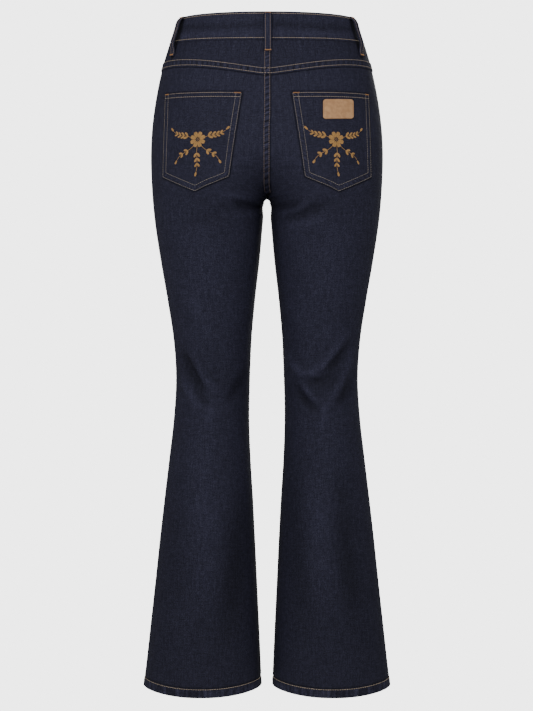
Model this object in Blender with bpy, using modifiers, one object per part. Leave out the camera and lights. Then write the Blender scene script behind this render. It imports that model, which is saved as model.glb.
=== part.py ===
"""Bootcut jeans in their worn, filled-out shape with no wearer inside.

Metres, +Z up. The origin is the middle of the waist opening, level with the
top edge of the waistband at the centre back. The front of the jeans faces -Y,
and the wearer's left is +X. Each piece is a wall of cloth on one body form:
at each level the form of one half is a squared ellipse round a crest, which
lies on the mid plane at the waist and on the leg's own middle at the crotch.
"""
import math

import bpy
import numpy as np

MM = 0.001

# Driving sizes
CLOTH = 1.5 * MM              # stretch denim
SEAM_GAP = 0.3 * MM           # between neighbouring pieces
LAID_GAP = 0.7 * MM           # under a piece laid on a curved panel
BAND_CLOTH = 2.6 * MM         # waistband, two layers and interlining
BAND_PROUD = 0.6 * MM         # waistband outside the panels below it
LOOP_CLOTH = 2.2 * MM         # belt loop, folded strip
LEATHER = 1.6 * MM

WAIST_SEAM = -44.5 * MM       # lower edge of the waistband at centre back
SIDE_LIFT = 4 * MM            # how far the waist seam rises at the sides
YOKE_CENTRE = -98 * MM        # yoke seam at the centre back
YOKE_SIDE = -80 * MM          # yoke seam at the side seam
YOKE_ROUND = 0.55             # how much it levels out towards the side
CROTCH = -276.5 * MM
CLEFT = 110 * MM              # height over which the legs merge above it
CLEFT_ROUND = 1.2             # 1 is a round crotch curve, 2 a pointed one
HEM_LEVEL = -1027.5 * MM      # lower edge at the side seam
HEEL_DROP = 10 * MM           # lower edge at the middle of the back leg
TOE_LIFT = 3 * MM             # the same at the front, upwards
HEM_FOLD = 15 * MM
SEAT_STRIP = 8 * MM           # breadth of the seam strip that bridges the cleft
FLY_STRIP = 22 * MM           # the same at the front

PANEL_POINTS = 13             # across a panel
ROW = 33 * MM                 # down a panel, closer at the crotch
ROWS_ABOVE_CROTCH = (66.0, 42.0, 25.0, 13.0, 5.0, 0.0)
ROWS_BELOW_CROTCH = (2.5, 10.0, 26.0)
YOKE_EASE = 75 * MM           # height over which rows below a sloping seam level out
WAIST_EASE = 40 * MM
HEM_EASE = 80 * MM

# The form, in millimetres: a row for each level.
# outer, inner: side seam and inseam from the mid plane. Above the crotch inner
#   is negative, and puts the crest half way between the two.
# side: how far back the side seam lies; back, front: depth from the origin
# square: 2 is an ellipse, more is squarer
FORM_COLUMNS = ("level", "outer", "inner", "side", "back", "front", "square")
FORM = (
    (10, 136.0, -136.0, 0, 96.0, 102.0, 2.20),
    (0, 138.5, -138.5, 0, 98.0, 103.0, 2.20),
    (-23, 145.0, -145.0, 0, 102.5, 106.0, 2.22),
    (-45, 152.8, -152.8, 0, 107.0, 108.0, 2.25),
    (-76, 161.8, -160.0, 1, 113.5, 110.0, 2.28),
    (-122, 171.4, -143.0, 2, 122.0, 111.0, 2.30),
    (-168, 177.4, -101.0, 3, 128.5, 110.5, 2.30),
    (-215, 179.3, -55.0, 4, 130.5, 108.0, 2.26),
    (-246, 178.5, -23.0, 4, 127.0, 104.5, 2.20),
    (-277, 176.7, 3.8, 4, 119.5, 99.5, 2.14),
    (-308, 173.8, 6.7, 3, 110.5, 95.0, 2.10),
    (-370, 164.7, 12.2, 1, 92.5, 89.0, 2.04),
    (-432, 154.1, 19.2, -2, 77.0, 84.0, 2.00),
    (-494, 144.8, 24.6, -5, 65.0, 79.0, 2.00),
    (-556, 141.2, 27.0, -7, 57.0, 75.0, 2.00),
    (-618, 144.7, 28.2, -5, 59.0, 72.0, 2.02),
    (-680, 151.7, 26.0, -2, 64.0, 70.0, 2.05),
    (-742, 159.0, 22.0, 0, 68.5, 68.0, 2.08),
    (-804, 166.0, 18.8, 2, 72.5, 67.0, 2.10),
    (-866, 172.5, 16.1, 3, 75.5, 66.5, 2.12),
    (-928, 179.3, 13.3, 4, 78.0, 66.5, 2.14),
    (-990, 186.1, 10.6, 5, 80.0, 67.0, 2.15),
    (-1026, 190.3, 9.1, 5, 81.0, 67.5, 2.15),
    (-1045, 192.4, 8.2, 5, 81.5, 67.8, 2.15),
)

# Largest folds, in millimetres: a soft trough from one end to the other.
# half: 1 back, -1 front; leg: 1 the wearer's left, -1 right
FOLD_COLUMNS = ("half", "leg", "x0", "z0", "x1", "z1", "wide", "deep")
FOLDS = (
    (1, 1, 10, -292, 120, -318, 15, 3.0),
    (1, -1, 10, -290, 112, -308, 15, 2.8),
    (1, 1, 134, -520, 62, -572, 18, 2.6),
    (1, -1, 136, -540, 56, -580, 18, 2.6),
    (-1, 1, 12, -266, 112, -226, 16, 2.6),
    (-1, -1, 12, -268, 118, -238, 16, 2.6),
    (-1, 1, 38, -596, 118, -616, 18, 2.2),
    (-1, -1, 40, -584, 120, -610, 18, 2.2),
)

# Corners of the back pocket and of the leather patch on the form
POCKET_COLUMNS = ("x", "z")
POCKET = {
    "top_out": (153.5, -121.0), "top_in": (36.5, -124.0),
    "low_in": (56.5, -251.0), "tip": (107.5, -273.5), "low_out": (156.5, -250.0),
}
PATCH_OUT, PATCH_IN = 129.2 * MM, 83.4 * MM
PATCH_TOP, PATCH_LOW = -134.5 * MM, -164.5 * MM
PATCH_CORNER = 4.5 * MM
PATCH_TILT = 0.05               # rise of the patch towards the side seam

# Front pocket mouth, fly and fastening
MOUTH_ANGLE = math.radians(56)     # where the mouth meets the waist seam
MOUTH_DEPTH = 92 * MM              # from the waist seam down the side seam
MOUTH_SCOOP = 2.2                  # how round its curve is
FACING_REACH = 1.2                 # the facing's outline over the mouth's
FACING_DEPTH = 1.1                 # how far it goes down, over the mouth's depth
FLY_FOOT = -192 * MM
BAND_UNDER_END = -79               # degrees round the waist, lapped underneath
BAND_OVER_END = -456               # the same, the end with the buttonhole
BAND_LAP = (-118, -100)            # degrees over which the band tucks under
ZIP_HALF = 14 * MM
ZIP_CLOTH = 1.0 * MM
SHIELD_RIGHT, SHIELD_LEFT = -20 * MM, 32 * MM
SLIDER_LEVEL = -57 * MM
SLIDER_FOOT = -114 * MM            # below it the zip lies close to the cloth
SLIDER_TALL, SLIDER_WIDE, SLIDER_THICK = 10 * MM, 9 * MM, 2.8 * MM
TAB_LONG, TAB_WIDE, TAB_THICK = 22 * MM, 5.5 * MM, 1.4 * MM
BUTTON_RADIUS, BUTTON_THICK = 8.5 * MM, 3.0 * MM
BUTTON_SHANK = 3.2 * MM
BUTTON_LEVEL = -21.5 * MM

# Belt loops: angle round the waist from the side seam, back or front half
LOOP_COLUMNS = ("name", "half", "leg", "angle")
LOOPS = (
    ("belt_loop_back", 1, -1, 89.7),
    ("belt_loop_side_left", 1, 1, 24.0),
    ("belt_loop_side_right", 1, -1, 24.0),
    ("belt_loop_front_left", -1, 1, 52.0),
    ("belt_loop_front_right", -1, -1, 52.0),
)
LOOP_WIDE = 11.2 * MM
LOOP_BEND = 170 * MM          # radius to which a loop curves across its width
LOOP_LEAN = 0.7               # turn of the side loops as they go down, radians a metre
LOOP_PATH_COLUMNS = ("level", "stand")
LOOP_PATH = (
    (-1.0, 0.3), (-5.0, 2.0), (-9.0, 4.8), (-13.0, 5.6), (-30.0, 5.6),
    (-42.0, 5.6), (-48.0, 4.2), (-53.0, 1.9), (-57.0, 0.5), (-62.5, 0.5),
)

DENIM = (0.018, 0.020, 0.032)
TAN_LEATHER = (0.402, 0.235, 0.130)
ZIP_TAPE = (0.020, 0.020, 0.028)
BRASS = (0.62, 0.40, 0.20)


def table_column(table, columns, name):
    """One named column of a table, in metres where it is a length."""
    values = np.array([row[columns.index(name)] for row in table], float)
    return values if name == "square" else values * MM


def form_at(level, name):
    """A column of the form read at any level, by a cubic through its rows."""
    heights = table_column(FORM, FORM_COLUMNS, "level")[::-1]
    values = table_column(FORM, FORM_COLUMNS, name)[::-1]
    slopes = np.gradient(values, heights)
    level = np.clip(level, heights[0], heights[-1])
    row = np.clip(np.searchsorted(heights, level) - 1, 0, len(heights) - 2)
    span = heights[row + 1] - heights[row]
    t = (level - heights[row]) / span
    return ((1 + 2 * t) * (1 - t) ** 2 * values[row]
            + t * (1 - t) ** 2 * span * slopes[row]
            + t * t * (3 - 2 * t) * values[row + 1]
            - t * t * (1 - t) * span * slopes[row + 1])


def ease(t):
    """0 to 1 with level ends."""
    t = np.clip(t, 0.0, 1.0)
    return t * t * (3 - 2 * t)


def section(level):
    """Crest from the mid plane, and the half widths outside and inside it."""
    outer = form_at(level, "outer")
    inner = form_at(level, "inner")
    crest = np.maximum((outer + inner) / 2, 0)
    above = level - CROTCH
    round_top = np.sqrt(1 - np.exp(np.minimum(above, 0) / (4 * MM)))
    below_crotch = crest - inner * round_top
    parting = 1 - (np.clip(above, 0, CLEFT) / CLEFT) ** CLEFT_ROUND
    above_crotch = np.maximum(crest / np.maximum(parting, 0.02), MM)
    return crest, outer - crest, np.where(above > 0, above_crotch, below_crotch)


def last_angle(level):
    """Angle at which the form meets the mid plane, or the inseam below it."""
    crest, _, inner_half = section(level)
    reach = np.where(level <= CROTCH, 1.0, np.clip(crest / inner_half, 0, 1))
    return math.pi / 2 + np.arcsin(reach ** (form_at(level, "square") / 2))


def angle_at(x, level):
    """Angle of the point of the form at distance x from the mid plane."""
    crest, outer_half, inner_half = section(level)
    reach = (x - crest) / np.where(x > crest, outer_half, inner_half)
    reach = np.clip(reach, -1.0, 1.0)
    power = form_at(level, "square") / 2
    return np.arccos(np.sign(reach) * np.abs(reach) ** power)


def bare_form(angle, level, half):
    """Points of the form of the wearer's left half, without folds."""
    crest, outer_half, inner_half = section(level)
    square = form_at(level, "square")
    side = form_at(level, "side")
    depth = form_at(level, "back") - side if half > 0 else form_at(level, "front") + side
    across = np.abs(np.cos(angle)) ** (2 / square)
    x = crest + np.where(np.cos(angle) > 0, outer_half * across, -inner_half * across)
    y = depth * np.abs(np.sin(angle)) ** (2 / square)
    # the seam strip bridges the groove where the legs part
    strip = SEAT_STRIP if half > 0 else FLY_STRIP
    reach = np.clip(crest / inner_half, 0.0, 0.97)
    slope = depth / inner_half * reach ** (square - 1)
    slope = slope / (1 - reach ** square) ** ((square - 1) / square)
    bridge = np.minimum(slope, 1.0) * ease((level - CROTCH) / (25 * MM))
    bridge = bridge * ease((CROTCH + CLEFT - level) / (15 * MM))
    y = y + strip * bridge * np.exp(-np.maximum(x, 0) / strip)
    return np.stack([x, side + half * y, level + 0 * x], axis=-1)


def even_angles(level, start, count, half):
    """Angles from start to the last one, evenly spread along the cloth.

    Just above the crotch they keep to the spacing of the leg, so that the
    columns run on smoothly, and only the last one jumps to the mid plane.
    """
    fine = np.linspace(0, 1, 120)
    rows = []
    for row_level, row_start in zip(level, start):
        end = last_angle(row_level)
        angle = row_start + fine * (end - row_start)
        points = bare_form(angle, row_level, half)
        step = np.linalg.norm(np.diff(points, axis=0), axis=1)
        length = np.concatenate([[0], np.cumsum(step)])
        near_crotch = 1 - ease((row_level - CROTCH) / CLEFT)
        past = 0.085 * near_crotch if row_level > CROTCH else 0.0
        want = np.linspace(0, length[-1] * (1 + past), count)
        want[-1] = length[-1]
        rows.append(np.interp(want, length, angle))
    return np.array(rows)


def to_middle(angle, level, new_level):
    """Angles kept on the mid plane when a row's level has been shifted."""
    return angle * last_angle(new_level) / last_angle(level)


def normals(angle, level, half):
    """Outward directions of the form, from its two slopes."""
    step_angle, step_level = 1e-4, 1e-5
    along = bare_form(angle + step_angle, level, half)
    along = along - bare_form(angle - step_angle, level, half)
    down = bare_form(angle, level - step_level, half)
    down = down - bare_form(angle, level + step_level, half)
    out = np.cross(down, along) * half
    return out / np.linalg.norm(out, axis=-1, keepdims=True)


def fold_depth(x, z, half, leg):
    """How far the troughs of the folds draw the cloth in at each point."""
    total = np.zeros_like(x)
    for row in FOLDS:
        fold = dict(zip(FOLD_COLUMNS, row))
        if fold["half"] != half or fold["leg"] != leg:
            continue
        start = np.array([fold["x0"], fold["z0"]]) * MM
        run = np.array([fold["x1"], fold["z1"]]) * MM - start
        t = ((x - start[0]) * run[0] + (z - start[1]) * run[1]) / run.dot(run)
        t = np.clip(t, 0.0, 1.0)
        off = np.hypot(x - start[0] - t * run[0], z - start[1] - t * run[1])
        taper = np.sin(math.pi * (0.12 + 0.76 * t))
        total += fold["deep"] * MM * taper * np.exp(-(off / (fold["wide"] * MM)) ** 2)
    return total


def on_form(angle, level, half, leg, lift=0.0):
    """Points and outward directions on one half, lifted off the form.

    The edges on the mid plane and on the side seam keep their directions in
    that plane, so that neighbouring walls meet along it.
    """
    angle, level = np.broadcast_arrays(np.asarray(angle, float), level)
    out = normals(np.clip(angle, 0.01, last_angle(level) - 0.004), level, half)
    on_seam = (angle < 0.02) | ((angle > math.pi - 0.02) & (level < CROTCH - MM))
    out[..., 1] = np.where(on_seam, 0.0, out[..., 1])
    on_middle = (angle > last_angle(level) - 0.005) & (level > CROTCH - 0.5 * MM)
    out[..., 0] = np.where(on_middle, 0.0, out[..., 0])
    at_crotch = on_middle & (np.abs(level - CROTCH) < 0.5 * MM)
    out[at_crotch] = (0.0, 0.0, -1.0)
    out = out / np.linalg.norm(out, axis=-1, keepdims=True)
    points = bare_form(angle, level, half)
    sink = fold_depth(points[..., 0], points[..., 2], half, leg)
    points = points + out * (np.asarray(lift) - sink)[..., None]
    points = points + np.array([SEAM_GAP / 2, half * SEAM_GAP / 2, 0])
    mirror = np.array([leg, 1, 1])
    return points * mirror, out * mirror


def round_form(angle, level, lift):
    """The same form all round the waist: 0 at +X, a quarter turn at +Y."""
    half = np.where(np.sin(angle) >= 0, 1, -1)
    leg = np.where(np.cos(angle) >= 0, 1, -1)
    quarter = np.arccos(np.abs(np.cos(angle)))
    points = np.where((half > 0)[..., None], bare_form(quarter, level, 1),
                      bare_form(quarter, level, -1))
    steady = np.clip(quarter, 0.01, math.pi / 2 - 0.004)
    out = np.where((half > 0)[..., None], normals(steady, level, 1),
                   normals(steady, level, -1))
    mirror = np.stack([leg, 1 + 0 * leg, 1 + 0 * leg], axis=-1)
    return (points + out * lift[..., None]) * mirror, out * mirror


def material(name, colour, roughness, metallic=0.0):
    """A Principled material."""
    shader = bpy.data.materials.new(name)
    shader.use_nodes = True
    shader.diffuse_color = (*colour, 1)
    principled = shader.node_tree.nodes["Principled BSDF"]
    principled.inputs["Base Color"].default_value = (*colour, 1)
    principled.inputs["Roughness"].default_value = roughness
    principled.inputs["Metallic"].default_value = metallic
    return shader


def add_piece(name, mesh, colour, roughness=0.9, metallic=0.0):
    """An object for a finished mesh, in the jeans' collection."""
    piece = bpy.data.objects.new(name, mesh)
    piece.data.materials.append(material(name + "_finish", colour, roughness, metallic))
    jeans.objects.link(piece)
    mesh.shade_smooth()
    mesh.set_sharp_from_angle(angle=math.radians(40))
    return piece


def wall(name, outside, out, thickness, colour=DENIM, ring=False, roughness=0.9):
    """A closed wall of cloth from a grid of outside points.

    The inside is the outside moved in by the thickness. A ring joins its
    last column to its first, and any other grid is closed along its edges.
    """
    rows, columns = outside.shape[:2]
    inside = outside - out * thickness
    points = np.concatenate([outside.reshape(-1, 3), inside.reshape(-1, 3)])
    number = np.arange(rows * columns).reshape(rows, columns)
    if ring:
        number = np.concatenate([number, number[:, :1]], axis=1)
    deep = number + rows * columns
    faces = [quads(number), quads(deep)[:, ::-1]]
    edges = [(number[0], deep[0]), (deep[-1], number[-1])]
    if not ring:
        edges += [(deep[:, 0], number[:, 0]), (number[:, -1], deep[:, -1])]
    for first, second in edges:
        faces.append(quads(np.stack([second, first])))
    mesh = bpy.data.meshes.new(name)
    mesh.from_pydata(points.tolist(), [], np.concatenate(faces).tolist())
    face_outward(mesh)
    return add_piece(name, mesh, colour, roughness)


def quads(number):
    """The four-sided faces of a grid of point numbers."""
    return np.stack([number[:-1, :-1], number[1:, :-1],
                     number[1:, 1:], number[:-1, 1:]], axis=-1).reshape(-1, 4)


def face_outward(mesh):
    """Turns a closed mesh right side out if its volume comes out negative."""
    points = np.array([vertex.co[:] for vertex in mesh.vertices])
    volume = 0.0
    for face in mesh.polygons:
        corner = points[list(face.vertices)]
        for k in range(1, len(corner) - 1):
            volume += np.dot(corner[0], np.cross(corner[k], corner[k + 1]))
    if volume < 0:
        mesh.flip_normals()
    mesh.validate()


def side_share(angle):
    """1 at the side seams and 0 at the centre back and front."""
    return np.cos(angle) ** 2


def waist_seam(angle):
    return WAIST_SEAM + SIDE_LIFT * side_share(angle)


def yoke_seam(angle):
    """The yoke seam falls to a shallow point at the centre back: level at the
    side, then nearly straight."""
    aside = np.abs(np.cos(angle))
    share = (1 + YOKE_ROUND) * aside - YOKE_ROUND * aside ** 3
    return YOKE_CENTRE + (YOKE_SIDE - YOKE_CENTRE) * share


def hem_level(angle, half):
    drop = -HEEL_DROP if half > 0 else TOE_LIFT
    return HEM_LEVEL + drop * np.sin(angle) ** 2


def panel_levels(top, spacing):
    """Levels from a panel's top to the hem, close together at the crotch."""
    above = CROTCH + np.array(ROWS_ABOVE_CROTCH) * MM
    below = CROTCH - np.array(ROWS_BELOW_CROTCH) * MM
    upper = np.linspace(top, above[0], max(2, round((top - above[0]) / spacing)) + 1)
    lower = np.linspace(below[-1], HEM_LEVEL, round((below[-1] - HEM_LEVEL) / spacing) + 1)
    return np.concatenate([upper[:-1], above, below, lower[1:]])


def back_panel(name, leg):
    """Back leg, from the yoke seam to the hem."""
    levels = panel_levels(YOKE_SIDE, ROW)
    angle = even_angles(levels, 0 * levels, PANEL_POINTS, 1)
    levels = levels[:, None]
    below_yoke = 1 - ease((YOKE_SIDE - levels) / YOKE_EASE)
    above_hem = ease((levels - HEM_LEVEL) / HEM_EASE)
    level = levels + below_yoke * (yoke_seam(angle) - YOKE_SIDE - 1.5 * SEAM_GAP)
    level = level + (1 - above_hem) * (hem_level(angle, 1) - HEM_LEVEL)
    angle = to_middle(angle, levels, level)
    wall(name, *on_form(angle, level, 1, leg), CLOTH)


def mouth_angle(depth_share):
    """Angle of the pocket mouth at a share of its depth: it scoops outward."""
    return MOUTH_ANGLE * (1 - depth_share ** MOUTH_SCOOP)


def front_panel(name, leg):
    """Front leg, from the waist seam to the hem, cut away at the pocket."""
    depth_share = 1 - np.linspace(1, 0, 9) ** 1.35
    mouth = WAIST_SEAM - SEAM_GAP - MOUTH_DEPTH * depth_share
    rest = panel_levels(mouth[-1], ROW)[1:]
    levels = np.concatenate([mouth, rest])
    start = np.concatenate([mouth_angle(depth_share), 0 * rest])
    angle = even_angles(levels, start, PANEL_POINTS, -1)
    levels = levels[:, None]
    near_waist = 1 - ease((WAIST_SEAM - levels) / WAIST_EASE)
    above_hem = ease((levels - HEM_LEVEL) / HEM_EASE)
    level = levels + near_waist * (waist_seam(angle) - WAIST_SEAM)
    level = level + (1 - above_hem) * (hem_level(angle, -1) - HEM_LEVEL)
    angle = to_middle(angle, levels, level)
    wall(name, *on_form(angle, level, -1, leg), CLOTH)


def hip_facing(name, leg):
    """The piece of denim that shows in the front pocket's mouth."""
    share_down = np.linspace(0, FACING_DEPTH, 8)[:, None]
    share = np.linspace(0, 1, 11)[None, :]
    angle = share * FACING_REACH * mouth_angle(share_down / FACING_REACH)
    level = waist_seam(angle) - SEAM_GAP - MOUTH_DEPTH * share_down
    inside = angle / MOUTH_ANGLE + share_down ** MOUTH_SCOOP
    sink = (CLOTH + 2.8 * LAID_GAP) * ease((inside - 0.56) / 0.2)
    wall(name, *on_form(angle, level, -1, leg, -sink), CLOTH)


def yoke(name, leg):
    """The wedge between the waistband and the back panel."""
    angle = np.linspace(0, math.pi / 2, PANEL_POINTS)[None, :]
    share = np.linspace(0, 1, 4)[:, None]
    top = waist_seam(angle) - SEAM_GAP
    level = top + share * (yoke_seam(angle) - top)
    angle = to_middle(angle, 0.0, level)
    wall(name, *on_form(angle, level, 1, leg), CLOTH)


def pocket_grid(columns, rows):
    """Angles and levels over the back pocket, row by row from its top."""
    corner = {key: np.array(value) * MM for key, value in POCKET.items()}
    angle_out, angle_tip, angle_in = (angle_at(*corner[key])
                                      for key in ("low_out", "tip", "low_in"))
    tip_share = (angle_tip - angle_out) / (angle_in - angle_out)
    across = np.concatenate([np.linspace(0, tip_share, columns // 2),
                             np.linspace(tip_share, 1, columns // 2 + 1)[1:]])[None, :]
    down = np.linspace(0, 1, rows)[:, None]
    out = corner["top_out"] + down[..., None] * (corner["low_out"] - corner["top_out"])
    inner = corner["top_in"] + down[..., None] * (corner["low_in"] - corner["top_in"])
    angle_out = angle_at(out[..., 0], out[..., 1])
    angle_in = angle_at(inner[..., 0], inner[..., 1])
    angle = angle_out + across * (angle_in - angle_out)
    level = out[..., 1] + across * (inner[..., 1] - out[..., 1])
    straight = (corner["low_out"][1] + corner["low_in"][1]) / 2
    near_tip = np.minimum(across / tip_share, (1 - across) / (1 - tip_share))
    return angle, level + (corner["tip"][1] - straight) * near_tip * down ** 2


def back_pocket(name, leg):
    angle, level = pocket_grid(12, 9)
    wall(name, *on_form(angle, level, 1, leg, CLOTH + LAID_GAP), CLOTH)


def patch():
    """The plain leather patch on the right back pocket."""
    half_tall = (PATCH_TOP - PATCH_LOW) / 2
    middle = (PATCH_TOP + PATCH_LOW) / 2
    corner = PATCH_CORNER * (1 - np.cos(np.linspace(0, math.pi / 2, 4)))
    x = np.concatenate([PATCH_IN + corner, np.linspace(PATCH_IN, PATCH_OUT, 6)[1:-1],
                        PATCH_OUT - corner[::-1]])
    edge = np.minimum(x - PATCH_IN, PATCH_OUT - x)
    inset = PATCH_CORNER - np.minimum(edge, PATCH_CORNER)
    tall = half_tall - PATCH_CORNER + np.sqrt(PATCH_CORNER ** 2 - inset ** 2)
    level = middle + np.linspace(1, -1, 5)[:, None] * tall[None, :]
    level = level + PATCH_TILT * (x - (PATCH_OUT + PATCH_IN) / 2)
    lift = 2 * CLOTH + LAID_GAP + SEAM_GAP
    angle = angle_at(x[None, :] + 0 * level, level)
    points, out = on_form(angle, level, 1, -1, lift + LEATHER - CLOTH)
    wall("patch", points, out, LEATHER, TAN_LEATHER, roughness=0.6)


def waistband():
    """One strip round the waist, its left end lapped over its right at the front."""
    degrees = np.concatenate([np.linspace(BAND_UNDER_END, -120, 12),
                              np.linspace(-128, BAND_OVER_END, 50)])[None, :]
    outside_lap, inside_lap = BAND_LAP
    tucked = (BAND_CLOTH + SEAM_GAP) * ease((degrees - outside_lap)
                                            / (inside_lap - outside_lap))
    angle = np.radians(degrees)
    share = np.linspace(0, 1, 3)[:, None]
    level = share * waist_seam(angle)
    lift = BAND_PROUD - tucked + 0 * level
    wall("waistband", *round_form(angle + 0 * level, level, lift), BAND_CLOTH)


def belt_loop(name, half, leg, angle_degrees):
    """A strip sewn down at both ends, standing off the band for a belt."""
    middle = math.radians(angle_degrees)
    level = np.array([row[0] for row in LOOP_PATH])[:, None] * MM
    stand = np.array([row[1] for row in LOOP_PATH])[:, None] * MM
    over_band = ease((level - WAIST_SEAM + 8 * MM) / (5 * MM))
    lift = stand + LOOP_CLOTH + BAND_PROUD * over_band
    across = np.linspace(-0.5, 0.5, 3)[None, :] * LOOP_WIDE
    full = {(1, 1): middle, (1, -1): math.pi - middle,
            (-1, 1): -middle, (-1, -1): math.pi + middle}[(half, leg)]
    away = np.sign(np.sin(full) * np.cos(full)) * np.cos(middle)
    at, out = round_form(full - LOOP_LEAN * away * level, level, lift)
    side_way = np.cross(out, [0, 0, 1])
    side_way = side_way / np.linalg.norm(side_way, axis=-1, keepdims=True)
    bend = across ** 2 / (2 * LOOP_BEND)
    points = at + side_way * across[..., None] - out * bend[..., None]
    wall(name, points, out, LOOP_CLOTH)


def hem(name, leg):
    """The turned-up hem, a second layer inside the foot of the leg."""
    foot = np.array([HEM_LEVEL])
    layers = []
    for half in (1, -1):
        angle = even_angles(foot, 0 * foot, PANEL_POINTS, half)
        low = hem_level(angle, half) + SEAM_GAP
        level = np.concatenate([low + HEM_FOLD, low])
        layers.append(on_form(angle, level, half, leg, -(CLOTH + SEAM_GAP)))
    back, front = layers
    points = np.concatenate([back[0], front[0][:, ::-1]], axis=1)
    out = np.concatenate([back[1], front[1][:, ::-1]], axis=1)
    wall(name, points, out, CLOTH, ring=True)


def front_layer(x, level, depth):
    """Points of a layer behind the centre front, depth inside the form."""
    leg = np.where(x >= 0, 1, -1)
    angle = angle_at(np.abs(x), level)
    points, out = on_form(angle, level, -1, 1, 0 * level - depth)
    mirror = np.stack([leg, 1 + 0 * leg, 1 + 0 * leg], axis=-1)
    points[..., 0] = np.abs(x)
    out[..., 0] = np.where(np.abs(x) < 1e-6, 0.0, out[..., 0])
    return points * mirror, out * mirror


def fly_depth(level):
    """How far in the zip lies: deeper at the top, where its slider is."""
    slider_room = (SLIDER_THICK + 4 * SEAM_GAP) * ease((level - SLIDER_FOOT) / (28 * MM))
    return CLOTH + LAID_GAP + SEAM_GAP + slider_room


def fly():
    """Zip tape behind the closed front edges, and the shield behind the zip."""
    level = np.linspace(WAIST_SEAM - SEAM_GAP, FLY_FOOT, 10)[:, None]
    x = np.linspace(-ZIP_HALF, ZIP_HALF, 5)[None, :] + 0 * level
    level = level + 0 * x
    wall("zip", *front_layer(x, level, fly_depth(level)), ZIP_CLOTH, ZIP_TAPE)
    x = np.concatenate([np.linspace(SHIELD_RIGHT, 0, 4),
                        np.linspace(0, SHIELD_LEFT, 6)[1:]])[None, :] + 0 * x[:, :1]
    level = level[:, :1] + 0 * x
    depth = fly_depth(level) + ZIP_CLOTH + SEAM_GAP
    wall("fly_shield", *front_layer(x, level, depth), CLOTH)


def block(name, size, centre, bevel):
    """A box with rounded edges, as a mesh."""
    bpy.ops.mesh.primitive_cube_add(size=1, location=centre)
    box = bpy.context.object
    box.name = name
    box.scale = size
    bpy.ops.object.transform_apply(location=True, scale=True)
    edge = box.modifiers.new("rounded", "BEVEL")
    edge.width = bevel
    edge.segments = 2
    bpy.ops.object.modifier_apply(modifier=edge.name)
    return box


def joined(name, pieces, colour, roughness, metallic):
    """One solid from overlapping pieces, added to the jeans."""
    first = pieces[0]
    for other in pieces[1:]:
        union = first.modifiers.new("joined", "BOOLEAN")
        union.operation = "UNION"
        union.object = other
        bpy.context.view_layer.objects.active = first
        bpy.ops.object.modifier_apply(modifier=union.name)
    mesh = first.data.copy()
    mesh.name = name
    for piece in pieces:
        bpy.data.objects.remove(piece)
    return add_piece(name, mesh, colour, roughness, metallic)


def zip_slider():
    """The slider at the top of the zip, its tab hanging flat on it."""
    points, out = front_layer(np.zeros((1, 1)), np.full((1, 1), SLIDER_LEVEL),
                              np.zeros((1, 1)))
    lean = math.atan2(-out[0, 0, 2], -out[0, 0, 1])
    inward = -out[0, 0]
    centre = points[0, 0] + inward * (CLOTH + 2 * SEAM_GAP + SLIDER_THICK / 2)
    body = block("slider_body", (SLIDER_WIDE, SLIDER_THICK, SLIDER_TALL),
                 (0, 0, 0), 0.8 * MM)
    tab = block("slider_tab", (TAB_WIDE, TAB_THICK, TAB_LONG),
                (0, -(SLIDER_THICK - TAB_THICK) / 2, -TAB_LONG / 2 - 1 * MM),
                0.5 * MM)
    slider = joined("zip_slider", [body, tab], BRASS, 0.35, 1.0)
    slider.location = centre
    slider.rotation_euler = (lean, 0, 0)


def button():
    """The shank button, its cap standing just off the lapped waistband."""
    level = np.full((1, 1), BUTTON_LEVEL)
    points, out = round_form(np.full((1, 1), -math.pi / 2 - 0.02), level,
                             np.full((1, 1), BAND_PROUD + SEAM_GAP))
    facing = out[0, 0]
    base = points[0, 0]
    bpy.ops.mesh.primitive_cylinder_add(vertices=20, radius=BUTTON_SHANK,
                                        depth=BUTTON_THICK, location=(0, 0, BUTTON_THICK / 2))
    shank = bpy.context.object
    bpy.ops.object.transform_apply(location=True)
    bpy.ops.mesh.primitive_cylinder_add(vertices=28, radius=BUTTON_RADIUS,
                                        depth=BUTTON_THICK - 1 * MM,
                                        location=(0, 0, BUTTON_THICK / 2 + 1 * MM))
    cap = bpy.context.object
    bpy.ops.object.transform_apply(location=True)
    edge = cap.modifiers.new("rounded", "BEVEL")
    edge.width = 0.7 * MM
    edge.segments = 2
    bpy.ops.object.modifier_apply(modifier=edge.name)
    piece = joined("button", [cap, shank], BRASS, 0.35, 1.0)
    piece.location = base
    piece.rotation_euler = (math.atan2(-facing[1], facing[2]), 0, 0)


for old in list(bpy.data.objects):
    bpy.data.objects.remove(old)
jeans = bpy.data.collections.new("bootcut_jeans")
bpy.context.scene.collection.children.link(jeans)

waistband()
for side_name, side in (("left", 1), ("right", -1)):
    yoke("yoke_" + side_name, side)
    back_panel("back_panel_" + side_name, side)
    front_panel("front_panel_" + side_name, side)
    hip_facing("hip_facing_" + side_name, side)
    back_pocket("back_pocket_" + side_name, side)
    hem("hem_" + side_name, side)
patch()
for loop in LOOPS:
    belt_loop(*loop)
fly()
zip_slider()
button()
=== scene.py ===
import math

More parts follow.
